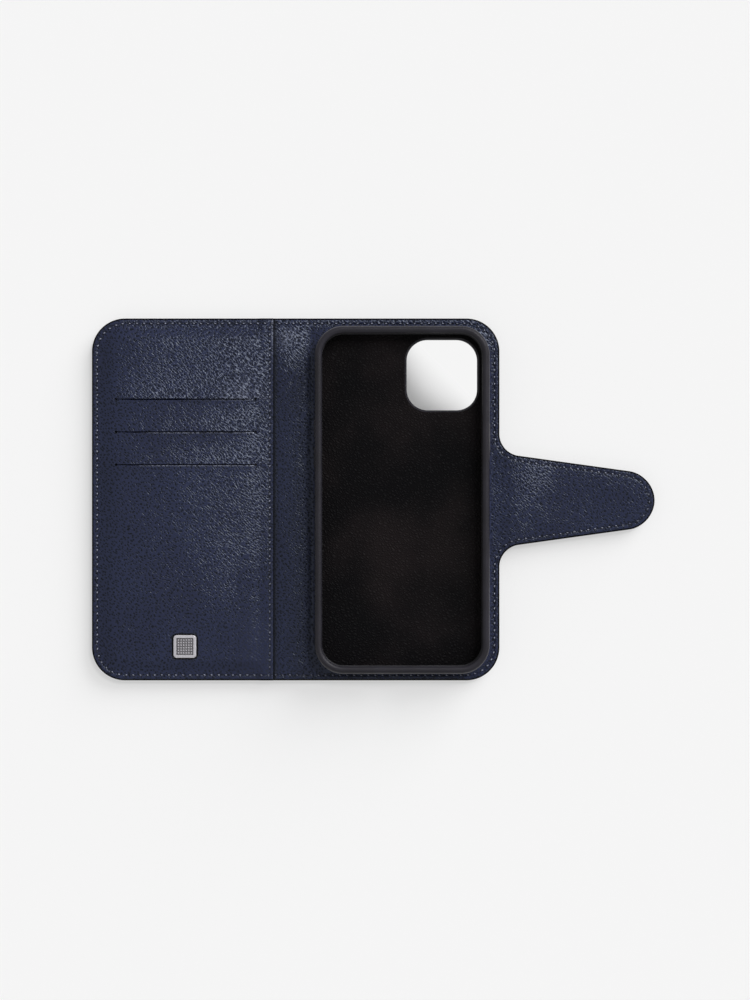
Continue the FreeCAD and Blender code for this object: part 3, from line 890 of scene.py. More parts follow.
@dataclass
class CutOutline:
    """The case's cut outline, lying open, with its sewing line just inside it."""

    left: float = field(default_factory=lambda: low("cover_outer_leather").x)
    tip: float = field(default_factory=lambda: high("strap_end_outer_leather").x)
    top: float = field(default_factory=lambda: high("cover_outer_leather").y)
    fold_setout: float = 1.2
    panel_corner: float = 14.5
    tip_radius: float = 12.95
    root_radius: float = 9.5
    taper: float = math.radians(7.9)
    strap_y: float = -0.4
    pitch: float = 3.12
    seam_inset: float = SEAM_INSET
    rings: tuple[float, ...] = (0.04, 0.15, 0.3, 0.45, 0.65, 0.95, 1.4, 1.85, 2.1, SEAM_INSET,
                                2.5, 2.75, 3.2, 3.9)
    lattice: float = 2.28
    outline: np.ndarray = field(init=False)
    holes: np.ndarray = field(init=False)

    def __post_init__(self) -> None:
        """Find where the strap leaves the panel."""
        self.panel = fold_at("strap_root_fold") - self.fold_setout
        self.turn = QUARTER - self.taper
        self.tip_half = self.tip_radius * math.tan(self.turn / 2)
        self.root_half = self.tip_half + (self.tip - self.panel) * math.tan(self.taper)

    def draw(self, name: str) -> Piece:
        """Draw the outline flat, with round corners, and leave it in edit mode.

        Args:
            name: The piece's name.

        Returns:
            The outline as a flat piece.
        """
        blank = new_plate(name, (self.left, self.panel, -self.top, self.top), 0.0)

        def on_side(part: Any) -> bool:
            """Whether a part lies on the panel's right side."""
            return abs(middle(part).x - self.panel) < NEAR

        def at_root(part: Any) -> bool:
            """Whether a part lies where the strap leaves the panel."""
            return on_side(part) and abs(middle(part).y) < 5

        pick(Pick.EDGES, on_side)
        bpy.ops.mesh.subdivide(number_cuts=2)
        for side in (1, -1):
            pick(Pick.VERTS, lambda v: on_side(v) and 1 < side * v.co.y < self.top - 1)
            start = side * self.top / 3
            bpy.ops.transform.translate(value=(0, self.strap_y + side * self.root_half - start, 0))
        pick(Pick.EDGES, at_root)
        bpy.ops.mesh.extrude_region_move(
            TRANSFORM_OT_translate={"value": (self.tip - self.panel, 0, 0)})
        bpy.ops.transform.resize(value=(1, self.tip_half / self.root_half, 1),
                                 center_override=(self.tip, self.strap_y, 0))
        pick(Pick.EDGES, at_root)
        bpy.ops.mesh.dissolve_edges(use_verts=False)
        round_corners(lambda v: abs(abs(v.co.y) - self.top) < NEAR, self.panel_corner, QUARTER, 24)
        round_corners(lambda v: on_side(v) and abs(v.co.y) < self.top / 2,
                      self.root_radius, self.turn, 20)
        round_corners(lambda v: abs(v.co.x - self.tip) < NEAR, self.tip_radius, self.turn, 18)
        bpy.ops.mesh.select_all(action="SELECT")
        bpy.ops.mesh.remove_doubles(threshold=NEAR)
        return blank

    def space_stitches(self) -> None:
        """Divide the straight runs into whole stitches, and each stitch in four."""
        # The round corners are short edges already.
        form = bmesh.from_edit_mesh(bpy.context.object.data)
        runs = [(middle(e).copy(), e.calc_length()) for e in form.edges if e.calc_length() > 2]
        for centre, length in runs:
            pick(Pick.EDGES, lambda e: (middle(e) - centre).length < NEAR and e.calc_length() > 4)
            bpy.ops.mesh.subdivide(number_cuts=round(length / self.pitch) - 1)
        pick(Pick.EDGES, lambda e: e.calc_length() > 2)
        bpy.ops.mesh.subdivide(number_cuts=3)

    def cut(self, name: str) -> Piece:
        """Cut the blank: outline, edge rings, sewing line and an even lattice inside.

        Args:
            name: The piece's name.

        Returns:
            The blank.
        """
        blank = self.draw(name)
        self.space_stitches()
        pick(Pick.FACES, lambda f: True)
        self.outline = self.selected_loop()
        reached = 0.0
        for ring in self.rings:
            bpy.ops.mesh.inset(thickness=ring - reached, depth=0)
            reached = ring
            if abs(ring - self.seam_inset) < 1e-6:
                line = self.selected_loop()
        start = Vector((self.left + self.panel_corner, self.top - self.seam_inset))
        first = int(np.argmin(np.hypot(line[:, 0] - start.x, line[:, 1] - start.y)))
        self.holes = np.roll(line, -first, axis=0)[::4]
        for axis, end in ((0, self.tip), (1, self.top)):
            for index in range(-int(end / self.lattice), int(end / self.lattice) + 1):
                slice_at(axis, index * self.lattice)
        leave()
        return blank

    def selected_loop(self) -> np.ndarray:
        """The selected face's corners in order, as x and y.

        Returns:
            One row for each corner.
        """
        form = bmesh.from_edit_mesh(bpy.context.object.data)
        face = next(f for f in form.faces if f.select)
        return np.array([(v.co.x, v.co.y) for v in face.verts])

    @staticmethod
    def ends(holes: np.ndarray) -> np.ndarray:
        """Where each stitch that starts at a hole goes down again, half a pitch further."""
        return (holes + np.roll(holes, -1, axis=0)) / 2

    def inward(self, x: np.ndarray, y: np.ndarray) -> np.ndarray:
        """Distance of each place from the outline.

        Args:
            x: Places along X.
            y: Places along Y.

        Returns:
            One distance for each place.
        """
        start = self.outline
        run = np.roll(start, -1, axis=0) - start
        length = (run ** 2).sum(1)
        found = np.empty(len(x))
        for at in range(0, len(x), BATCH):
            some = slice(at, at + BATCH)
            gap = np.stack([x[some], y[some]], 1)[:, None] - start[None]
            part = np.clip((gap * run[None]).sum(2) / length[None], 0, 1)
            off = gap - part[..., None] * run[None]
            found[some] = np.sqrt((off ** 2).sum(2).min(1))
        return found

    def from_hole(self, x: np.ndarray, y: np.ndarray, holes: np.ndarray) -> np.ndarray:
        """Distance of each place from the nearest end of a stitch.

        Args:
            x: Places along X.
            y: Places along Y.
            holes: Where the stitches start.

        Returns:
            One distance for each place.
        """
        holes = np.concatenate([holes, self.ends(holes)])
        found = np.empty(len(x))
        for at in range(0, len(x), BATCH):
            some = slice(at, at + BATCH)
            dx = x[some, None] - holes[None, :, 0]
            dy = y[some, None] - holes[None, :, 1]
            found[some] = np.sqrt((dx ** 2 + dy ** 2).min(1))
        return found


@dataclass
class SewnRelief:
    """How a sewn, rounded edge shapes the face of the leather."""

    edge_round: float = 1.15
    edge_drop: float = 0.5
    seam_inset: float = SEAM_INSET
    groove: float = 0.08
    groove_width: float = 0.5
    puff: float = 0.05
    hole_depth: float = 0.26
    hole_width: float = 0.32

    def height(self, away: np.ndarray, hole: np.ndarray) -> np.ndarray:
        """Height against the flat face, from the distances to the edge and to a hole.

        Args:
            away: Distance of each place from the cut edge.
            hole: Distance of each place from the nearest needle hole.

        Returns:
            One height for each place.
        """
        part = np.clip(1 - away / self.edge_round, 0, 1)
        drop = self.edge_drop * (1 - np.sqrt(1 - part ** 2))
        inner = (away - self.edge_round) / (self.seam_inset - self.edge_round)
        swell = self.puff * np.sin(np.pi * np.clip(inner, 0, 1))
        groove = self.groove * hump(away - self.seam_inset, self.groove_width)
        return swell - drop - groove - self.hole_depth * hump(hole, self.hole_width)


@dataclass
class LeatherWork:
    """The two skins and the card panel: one cut, shaped, lined and split at the folds."""

    cut: CutOutline
    paint: bpy.types.Material
    relief: SewnRelief = field(default_factory=SewnRelief)
    band_z: float = field(default_factory=lambda: high("strap_end_lining").z)
    join_z: float = field(default_factory=lambda: high("strap_end_outer_leather").z)
    back_z: float = field(default_factory=lambda: high("back_lining_leather").z)
    card_z: float = field(default_factory=lambda: high("card_panel").z)
    card_edge: float = field(default_factory=lambda: high("card_panel").x)
    strip_edge: float = field(default_factory=lambda: low("cover_hinge_lining").x)
    window_gap: float = 1.25
    skin: float = 0.7
    play: float = 0.01
    stiffener_room: float = 0.31
    magnet_room: float = 0.51
    magnet_seat: float = 0.52
    magnet_reach: float = 8.5
    pocket_head: float = 4.0
    pocket_side: float = 2.6
    slit_half: float = 0.19
    slit_hole: float = 0.55
    slit_gapes: tuple[float, ...] = (0.5, 0.4, 0.35)
    row: float = 0.76
    paint_width: float = 0.67
    # Faces deeper in painted shade than this get the black paint too.
    painted_shade_cutoff: float = 0.97
    card_seam: float = 1.5
    badge_corner: float = 1.4
    prick_width: float = 0.3
    strap_arch: float = 0.45
    strap_crown: float = 0.12
    spine_crown: float = 0.34
    fold_dip: float = 0.16
    panel_crease: float = 0.42
    lining_wave: float = 0.2
    card_wave: float = 0.3
    card_crown: float = 0.5
    lap_rise: float = 0.8
    bend_reach: tuple[float, ...] = (1.8, 1.7, 2.3, 3.0)
    # The lining's soft bulges: x, y, slope, and half width along X and Y.
    bulges: tuple[tuple[float, ...], ...] = (
        (-39.5, 70.5, 0.7, 7.0, 5.5), (-40.5, 63.0, 0.18, 7.0, 8.0),
        (71.0, 10.0, 0.19, 7.0, 7.0), (67.0, 0.0, 0.06, 8.0, 9.0), (50.0, 73.0, 0.2, 6.0, 6.0))

    def __post_init__(self) -> None:
        """Read the folds, the shell's outline and the slits from the frame."""
        self.cover_fold = fold_at("cover_fold")
        self.spine_fold = fold_at("spine_fold")
        self.root_fold = fold_at("strap_root_fold")
        self.strap_bend = fold_at("strap_bend")
        corner, far = low("phone_shell"), high("phone_shell")
        self.shell = (corner.x, far.x, corner.y, far.y)
        names = ("pocket_lining_top", "pocket_lining_middle", "pocket_lining_bottom")
        self.slits = [high(name).y - self.pocket_head for name in names]
        self.slit_ends = (low(names[0]).x + self.pocket_side, high(names[0]).x - self.pocket_side)
        self.mid_spine = (self.cover_fold + self.spine_fold) / 2
        self.mid_back = (self.shell[0] + self.shell[1]) / 2
        self.mid_riser = (self.root_fold + self.strap_bend) / 2
        emblem_low, emblem_high = low("emblem_plate"), high("emblem_plate")
        self.badge = (emblem_low.x, emblem_high.x, emblem_low.y, emblem_high.y)

    def card_lean(self, x: np.ndarray, y: np.ndarray) -> np.ndarray:
        """The card panel's slope to the upper right, most where it swells over a slit.

        Args:
            x: Places along X.
            y: Places along Y.

        Returns:
            One slope for each place.
        """
        x0, x1 = self.slit_ends
        part = np.clip((x - x0) / (x1 - x0), 0, 1.1)
        top, mid, foot = self.slits
        fade = 1 - 0.35 * smooth((-30 - y) / 30)
        lean = 0.06 + 0.125 * np.clip(part / 0.8, 0, 1) ** 0.8 * fade
        # Above the top slit, and more at the sewn edge.
        lean += smooth((y - top) / 3) * 0.035
        lean += smooth((y - 70) / 5) * (0.02 + 0.16 * part)
        lean += 0.10 * hump(part - 0.86, 0.14) * hump(y - 60, 12)
        # The swell just over each slit, and the flat just under it.
        swell = (y > top) * np.exp(-np.maximum(y - top, 0) / 7)
        lean += swell * (0.16 + 0.09 * part + 0.5 * hump(part - 0.93, 0.14))
        for slit, rise in ((mid, 0.12), (foot, 0.08)):
            up = (y > slit + 0.3) * hump(y - slit - 3.2, 4.2)
            lean += up * (0.03 + rise * smooth((part - 0.45) / 0.5))
        for slit in self.slits:
            lean *= 1 - 0.7 * (y < slit) * (part < 1.02) * np.exp(-np.maximum(slit - y, 0) / 2.4)
        # The lower half, calm again toward the fold.
        lean += 0.05 * hump(part - 0.7, 0.4) * hump(y + 25, 25)
        lean *= 1 - 0.45 * smooth((-15 - y) / 25) * smooth((part - 0.8) / 0.15)
        return lean * smooth((self.card_edge - x) / 3) * smooth((x + 117) / 6)

    @staticmethod
    def creases(lean: np.ndarray) -> np.ndarray:
        """How far the grain opens where the leather swells or bends."""
        return np.clip((lean - 0.06) / 0.36, 0, 1)

    def lining_lean(self, x: np.ndarray, y: np.ndarray) -> np.ndarray:
        """The lining's slope to the upper right, over its few soft bulges.

        Args:
            x: Places along X.
            y: Places along Y.

        Returns:
            One slope for each place.
        """
        lean = 0.03 + 0.2 * smooth((y - 74) / 3) + 0.05 * smooth((self.spine_fold - x) / 3)
        lean -= 0.03 * smooth((x - 90) / 10)
        for at_x, at_y, rise, wide, tall in self.bulges:
            lean += rise * hump(x - at_x, wide) * hump(y - at_y, tall)
        return lean

    def lie(self, x: np.ndarray) -> np.ndarray:
        """How far the unpressed strap arches off the surface under it."""
        rise = smooth((x - self.root_fold + 1) / 6) * smooth((self.strap_bend + 7 - x) / 14)
        return self.strap_arch * rise

    def at_magnet(self, x: np.ndarray, y: np.ndarray) -> np.ndarray:
        """Whether each place lies over the strap's magnet."""
        centre = self.cut.tip - self.cut.tip_radius
        return np.hypot(x - centre, y - self.cut.strap_y) < self.magnet_reach

    def lining_top(self, x: np.ndarray, y: np.ndarray, away: np.ndarray, hole: np.ndarray
                   ) -> np.ndarray:
        """Height of the lining's face.

        Args:
            x: Places along X.
            y: Places along Y.
            away: Distance of each place from the cut edge.
            hole: Distance of each place from the nearest needle hole.

        Returns:
            One height for each place.
        """
        inside = smooth(away / 6)
        part = (x - self.cover_fold) / (self.spine_fold - self.cover_fold)
        spine = self.spine_crown * np.sin(np.pi * np.clip(part, 0, 1)) ** 1.5
        crease = hump(x - self.card_edge - 0.3, 1.9) * (x > self.card_edge - 0.2)
        folds = hump(x - self.cover_fold, 1.3) + hump(x - self.spine_fold, 1.3)
        dips = self.fold_dip * folds + self.panel_crease * crease
        gap = rounded_gap(x, y, self.shell, SHELL_CORNER)
        pad = (self.back_z - self.band_z) * smooth((1.15 - gap) / 0.85)
        wave = self.lining_wave * ripple(x, y) * inside * smooth(gap / 4)
        crown = self.strap_crown * smooth(away / 9) * smooth((x - self.root_fold) / 6)
        return (self.band_z + (spine - dips) * inside + pad + wave + crown
                + self.relief.height(away, hole) + self.lie(x))

    def lining_under(self, x: np.ndarray, y: np.ndarray, top: np.ndarray) -> np.ndarray:
        """Height of the lining's hidden side, clear of what lies under it.

        Args:
            x: Places along X.
            y: Places along Y.
            top: Height of the face at each place.

        Returns:
            One height for each place.
        """
        under = np.full(len(x), self.join_z + self.play) + self.lie(x)
        spine = (x > self.cover_fold + 0.5) & (x < self.spine_fold - 0.5)
        under[spine] = self.join_z + self.stiffener_room
        gap = rounded_gap(x, y, self.shell, SHELL_CORNER)
        under[gap < 0.9] = self.back_z - self.skin
        strap = x > self.strap_bend + 1.5
        under[strap] = self.join_z + self.stiffener_room
        under[self.at_magnet(x, y)] = self.join_z + self.magnet_room
        return np.minimum(under, top - 0.2)

    def card_top(self, x: np.ndarray, y: np.ndarray, away: np.ndarray, hole: np.ndarray
                 ) -> np.ndarray:
        """Height of the card panel's face.

        Args:
            x: Places along X.
            y: Places along Y.
            away: Distance of each place from the cut edge.
            hole: Distance of each place from the nearest needle hole.

        Returns:
            One height for each place.
        """
        full = self.card_z - self.band_z
        inner = self.card_edge - x
        rise = full * smooth((away - 2.9) / 6.5) * smooth((inner - 1.8) / 9)
        middle_most = 1 - ((y - 8) / 76) ** 2
        rise += (self.card_crown * smooth((away - 3) / 14) * smooth((inner - 2) / 22)
                 * middle_most)
        lap = self.lap_rise * smooth((x - self.strip_edge + 2.6) / 2.6)
        wave = self.card_wave * ripple(x + 40, y) * smooth((away - 3) / 6)
        wave *= smooth((inner - 2) / 5)
        wave *= 1 - hump(rounded_gap(x, y, self.badge, 1.0).clip(0), 8)
        z = self.band_z + (rise ** 4 + lap ** 4) ** 0.25 + wave
        x0, x1 = self.slit_ends
        reach = smooth((x - x0) / 7) * smooth((x1 - x) / 7)
        for slit, gape in zip(self.slits, self.slit_gapes):
            up = y - slit
            lift = np.where(up > 0, gape * np.exp(-np.abs(up) / 8), -0.12 * np.exp(up / 3.0))
            lip = np.clip(1 - (np.abs(up) - self.slit_half) / 0.4, 0, 1)
            z += (lift - np.where(up > 0, 0.1, 0.26) * lip ** 2) * reach
        z -= 0.10 * hump(rounded_gap(x, y, self.badge, self.badge_corner).clip(0), 1.2)
        edge = SewnRelief(edge_round=0.38, edge_drop=0.38, seam_inset=self.card_seam,
                          groove=0.05, puff=0.03)
        z += edge.height(inner, self.cut.from_hole(x, y, self.card_holes()))
        return z + self.relief.height(away, hole)

    def card_under(self, x: np.ndarray, y: np.ndarray, top: np.ndarray) -> np.ndarray:
        """Height of the card panel's hidden side.

        Args:
            x: Places along X.
            y: Places along Y.
            top: Height of the face at each place.

        Returns:
            One height for each place.
        """
        lap = smooth((x - self.strip_edge + 2.8) / 2.6)
        low_side = self.join_z + self.play + 0.81 * lap
        x0, x1 = self.slit_ends
        foot = low("pocket_lining_bottom").y
        pockets = (x > x0 - 3) & (x < x1 + 3) & (y > foot - 1) & (y < self.slits[0] + 5)
        floor = np.where(pockets, high("pocket_lining_bottom").z + 0.02, 0.0)
        return np.minimum(np.maximum(np.maximum(top - self.skin, low_side), floor), top - 0.22)

    def card_holes(self) -> np.ndarray:
        """Needle holes down the card panel's free edge.

        Returns:
            One row of x and y for each hole.
        """
        step = 4 * self.row
        count = int((self.cut.top - self.cut.seam_inset - 1) / step)
        x = self.card_edge - self.card_seam
        return np.array([(x, index * step) for index in range(count, -count - 1, -1)])

    def skin_over(self, sheet: Piece, top: FaceHeight, under: HiddenHeight, marks: FaceNotes,
                  flip: bool = False) -> None:
        """Give a flat sheet its face, then its thickness and its hidden side.

        Args:
            sheet: The flat, latticed sheet.
            top: Height of its face.
            under: Height of its hidden side.
            marks: What its finish is to read at each place, by name.
            flip: True where the face looks down.
        """
        spots = places(sheet)
        x, y = spots[:, 0], spots[:, 1]
        away = self.cut.inward(x, y)
        hole = self.cut.from_hole(x, y, self.cut.holes)
        spots[:, 2] = top(x, y, away, hole)
        set_places(sheet, spots)
        note(sheet, "edge_distance", away)
        note(sheet, "flat", np.stack([x, y, np.zeros(len(x))], 1) * MM)
        for name, values in marks(x, y, hump(hole, self.prick_width)).items():
            note(sheet, name, values)
        if flip:
            edit(sheet)
            bpy.ops.mesh.select_all(action="SELECT")
            bpy.ops.mesh.flip_normals()
            leave()
        count = len(spots)
        modify(sheet, "SOLIDIFY", thickness=0.5, offset=-1.0, use_even_offset=False)
        whole = places(sheet)
        whole[count:, :2] = spots[:, :2]
        whole[count:, 2] = under(x, y, spots[:, 2])
        set_places(sheet, whole)

    def card_marks(self, x: np.ndarray, y: np.ndarray, pricks: np.ndarray) -> Notes:
        """Painted shade and painted highlights on the card panel, its slope and how far its grain
        opens.

        Args:
            x: Places along X.
            y: Places along Y.
            pricks: How far each place lies in a needle hole, from 0 to 1.

        Returns:
            The notes by name.
        """
        hole = self.cut.from_hole(x, y, self.card_holes())
        pricks = np.maximum(pricks, hump(hole, self.prick_width))
        # Painted shade in the gap round the badge and in the punched holes at the slits' ends.
        gap_shade = smooth((0.95 - rounded_gap(x, y, self.badge, self.badge_corner)) / 0.3)
        for slit in self.slits:
            for end in self.slit_ends:
                gap_shade = np.maximum(gap_shade, smooth((0.75 - np.hypot(x - end, y - slit)) / 0.12))
        inner = self.card_edge - x
        # Painted highlight along the card panel's free edge, strongest toward its top end.
        wear = smooth((0.95 - inner) / 0.5) * (0.06 + 0.5 * smooth((y - 55) / 20))
        x0, x1 = self.slit_ends
        # Painted highlight along the lower lip of each slit, where its cut edge would catch the
        # light.
        for slit, start, level in zip(self.slits, (-85.0, -104.0, -107.0), (0.4, 0.9, 1.0)):
            lip = (y < slit) & (x > x0) & (x < x1 - 0.4)
            paler = level * smooth((x - start) / 12)
            wear = np.maximum(wear, lip * paler * smooth((0.66 - (slit - y)) / 0.2))
        top = self.slits[0]
        # A painted sheen just above the top slit, near its right end.
        painted_sheen = (y > top) * np.exp(-np.maximum(y - top, 0) / 5) * hump((x - x1 + 4) / 9, 1.0)
        wear = np.maximum(wear, 0.34 * painted_sheen)
        lean = self.card_lean(x, y)
        crease = self.creases(lean) * (1 - 0.4 * smooth((5 - y) / 20))
        crease += 0.08 * smooth((y - top) / 3)
        crease -= 0.2 * smooth((-30 - y) / 30) * smooth((x + 105) / 30)
        return {"hollow": np.maximum(pricks, gap_shade), "wear": wear, "lean": lean, "crease": crease}

    def lining_marks(self, x: np.ndarray, y: np.ndarray, pricks: np.ndarray) -> Notes:
        """Painted shade and a painted highlight on the lining, its slope and how far its grain
        opens.

        Shade is painted in the needle holes and in the crease beside the card panel's edge.

        Args:
            x: Places along X.
            y: Places along Y.
            pricks: How far each place lies in a needle hole, from 0 to 1.

        Returns:
            The notes by name.
        """
        # Painted shade in the crease beside the card panel's edge.
        crease = smooth((self.card_edge + 2.2 - x) / 2.0)
        lean = self.lining_lean(x, y)
        drawn = 0.1 + 0.06 * smooth((x - self.root_fold) / 4) + 0.22 * hump(x - 58, 9)
        drawn += 0.15 * hump(x - self.card_edge - 2, 4)
        # A painted highlight near the top of the spine.
        painted_sheen = 0.24 * hump(x + 38, 4.5) * hump(y - 71, 4.5)
        return {"hollow": np.maximum(pricks, 0.95 * crease), "lean": lean, "wear": painted_sheen,
                "crease": self.creases(lean) + drawn}

    def outer_marks(self, x: np.ndarray, y: np.ndarray, pricks: np.ndarray) -> Notes:
        """Painted shade in the outer leather's needle holes, and its grain, which is open all
        over.
        """
        return {"hollow": pricks, "crease": np.full(len(x), 0.55)}

    def open_slits(self, panel: Piece) -> None:
        """Cut the three slits through the flat card panel.

        Args:
            panel: The flat card panel.
        """
        edit(panel)
        x0, x1 = self.slit_ends
        for x in (x0, x1):
            slice_at(0, x)
        taken = [y + side * self.slit_half for y in self.slits for side in (-1, 1)]
        near = [y + side * off for y in self.slits for side in (-1, 1) for off in (0.32, 0.55)]
        for y in taken + near:
            slice_at(1, y)
        count = int(self.cut.top / self.row)
        for index in range(-count, count + 1):
            y = index * self.row
            if index % 3 and min(abs(y - slit) for slit in self.slits) > 0.6:
                slice_at(1, y)
        for inset in (0.05, 0.16, 0.38, 0.8, 1.2, 1.5, 1.8, 2.2, 2.9):
            slice_at(0, self.card_edge - inset)
        for axis in (0, 1):
            for edge, way in zip(self.badge[2 * axis:2 * axis + 2], (-1, 1)):
                for off in (-0.25, 0.1, 0.6, 0.9):
                    slice_at(axis, edge + way * off)
        pick(Pick.FACES, lambda f: x0 < middle(f).x < x1
             and min(abs(middle(f).y - slit) for slit in self.slits) < self.slit_half - 0.01)
        bpy.ops.mesh.delete(type="FACE")
        leave()

    def punch_slit_ends(self, panel: Piece) -> None:
        """Punch the round hole at both ends of each slit.

        Args:
            panel: The card panel, with its thickness.
        """
        punches = []
        for slit in self.slits:
            for x in self.slit_ends:
                select_only()
                bpy.ops.mesh.primitive_cylinder_add(vertices=20, radius=self.slit_hole, depth=8,
                                                    location=(x, slit, self.card_z))
                punches.append(bpy.context.object)
        bore(panel, weld(punches, "slit_punch"))

    def segment(self, sheet: Piece, name: str, start: float | None, end: float | None) -> Piece:
        """Copy the part of a sheet between two places along X, closed at the cuts.

        Args:
            sheet: The sheet.
            name: The piece's name.
            start: Where the part starts, or None at the sheet's end.
            end: Where the part ends, or None at the sheet's end.

        Returns:
            The part.
        """
        part = copy_of(sheet, name)
        edit(part)
        if start is not None:
            slice_at(0, start, clear_inner=True, use_fill=True)
        if end is not None:
            slice_at(0, end, clear_outer=True, use_fill=True)
        return leave()

    def dress(self, piece: Piece, leather: bpy.types.Material) -> Piece:
        """Give a piece its leather, painted black along the cut outline and as painted shade in
        its deepest hollows.

        Args:
            piece: The piece.
            leather: The leather's finish.

        Returns:
            The piece.
        """
        finish(piece, leather)
        mesh = piece.data
        away, hollow = noted(piece, "edge_distance"), noted(piece, "hollow")
        # Black paint on the cut outline, and as painted shade on faces deep in the shade note.
        painted = [away[list(face.vertices)].max() < self.paint_width
                   or hollow[list(face.vertices)].min() > self.painted_shade_cutoff
                   for face in mesh.polygons]
        mesh.materials.append(self.paint)
        mesh.polygons.foreach_set("material_index", np.array(painted, np.int32))
        return piece

    def make_card_panel(self, blank: Piece, material: bpy.types.Material) -> Piece:
        """The card panel with its slits, raised over the pockets.

        Args:
            blank: The cut blank, flat.
            material: Its finish.

        Returns:
            The panel.
        """
        panel = copy_of(blank, "card_panel_leather")
        edit(panel)
        slice_at(0, self.card_edge, clear_outer=True)
        leave()
        self.open_slits(panel)
        self.skin_over(panel, self.card_top, self.card_under, self.card_marks)
        self.punch_slit_ends(panel)
        self.dress(panel, material)
        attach(panel, "cover")
        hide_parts("card_panel")
        return panel

    def bend(self, piece: Piece, fold: int) -> None:
        """Bake a piece's transform into its mesh."""
        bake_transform(piece)

    def make_lining(self, blank: Piece, material: bpy.types.Material) -> None:
        """The lining from its strip under the card panel to the strap's tip.

        Args:
            blank: The cut blank, flat.
            material: Its finish.
        """
        lining = copy_of(blank, "lining_sheet")
        edit(lining)
        slice_at(0, self.strip_edge, clear_inner=True)
        for fold in (self.cover_fold, self.spine_fold):
            for off in (-0.8, 0.0, 0.8):
                slice_at(0, fold + off)
        leave()
        self.ring_round_shell(lining)
        self.skin_over(lining, self.lining_top, self.lining_under, self.lining_marks)
        bore(lining, window_block(self.window_gap, -2.0, 6.0, 12))
        self.hand_out(lining, material, [
            ("hinge_lining", None, self.mid_spine, ("cover_hinge_lining", "spine_lining_leather")),
            ("back_lining_fold_side", self.mid_spine, self.mid_back,
             ("spine_lining_leather", "back_lining_leather")),
            ("back_lining_strap_side", self.mid_back, self.mid_riser,
             ("back_lining_leather", "strap_riser_lining")),
            ("strap_lining_leather", self.mid_riser, None,
             ("strap_riser_lining", "strap_end_lining")),
        ])

    def ring_round_shell(self, sheet: Piece) -> None:
        """Add lines close round the shell, where the lining climbs over its board.

        Args:
            sheet: The flat lining.
        """
        x0, x1, y0, y1 = self.shell
        edit(sheet)
        for off in (0.3, 0.75, 1.2):
            for axis, place in ((0, x0 - off), (0, x1 + off), (1, y0 - off), (1, y1 + off)):
                slice_at(axis, place)
        leave()

    def outer_face(self, x: np.ndarray, y: np.ndarray, away: np.ndarray, hole: np.ndarray
                   ) -> np.ndarray:
        """Height of the outer leather's face, which looks down."""
        relief = SewnRelief(groove=0.42, groove_width=0.42, hole_depth=0.2, puff=0.0)
        return np.maximum(-relief.height(away, hole), 0.0) + self.lie(x)

    def outer_inside(self, x: np.ndarray, y: np.ndarray, top: np.ndarray) -> np.ndarray:
        """Height of the outer leather's hidden side.

        Args:
            x: Places along X.
            y: Places along Y.
            top: Height of the face at each place; not used.

        Returns:
            One height for each place.
        """
        inside = np.full(len(x), self.join_z) + self.lie(x)
        inside[self.at_magnet(x, y)] = self.join_z - self.magnet_seat
        return inside

    def make_outer(self, blank: Piece, material: bpy.types.Material) -> None:
        """The outer leather, one skin from the cover to the strap's tip.

        Args:
            blank: The cut blank, flat.
            material: Its finish.
        """
        outer = copy_of(blank, "outer_sheet")
        self.skin_over(outer, self.outer_face, self.outer_inside, self.outer_marks, flip=True)
        bore(outer, window_block(self.window_gap, -2.0, 6.0, 12))
        self.hand_out(outer, material, [
            ("outer_leather_cover", None, self.mid_spine,
             ("cover_outer_leather", "spine_outer_leather")),
            ("outer_leather_fold_side", self.mid_spine, self.mid_back,
             ("spine_outer_leather", "back_outer_leather")),
            ("outer_leather_strap_side", self.mid_back, self.mid_riser,
             ("back_outer_leather", "strap_riser_outer_leather")),
            ("outer_leather_strap", self.mid_riser, None,
             ("strap_riser_outer_leather", "strap_end_outer_leather")),
        ])

    def hand_out(self, sheet: Piece, material: bpy.types.Material,
                 parts: list[tuple[str, float | None, float | None, tuple[str, ...]]]) -> None:
        """Split a skin into one piece per fold.

        Args:
            sheet: The skin, with its thickness.
            material: Its finish.
            parts: For each fold a name, two ends along X and the nodes it stands in for.
        """
        for fold, (name, start, end, nodes) in enumerate(parts):
            piece = self.dress(self.segment(sheet, name, start, end), material)
            self.bend(piece, fold)
            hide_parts(*nodes)
        bpy.data.objects.remove(sheet)


def camera_window() -> tuple[Vector, Vector]:
    """The camera window's corners, inside the moulded collar, in millimetres.

    Returns:
        Its lowest and its highest corner.
    """
    side, top, size = 2.7, 3.1, 31.0
    corner = high("phone_shell")
    x1 = corner.x - SHELL_WALL - PHONE_PLAY - side
    y1 = corner.y - SHELL_WALL - PHONE_PLAY - top
    return Vector((x1 - size, y1 - size, 0)), Vector((x1, y1, 0))


def window_block(grow: float, z0: float, z1: float, steps: int) -> Piece:
    """A block in the camera window's outline.

    Args:
        grow: How much larger it is than the window on every side.
        z0: Height of its foot.
        z1: Height of its top.
        steps: Segments in each of its round corners.

    Returns:
        The block.
    """
    lo, hi = camera_window()
    box = (lo.x - grow, hi.x + grow, lo.y - grow, hi.y + grow)
    rounded_plate("window_block", box, WINDOW_CORNER + grow, z0, steps)
    raise_face(z1 - z0)
    face_out()
    return leave()


# ---------------------------------------------------------------- sewing


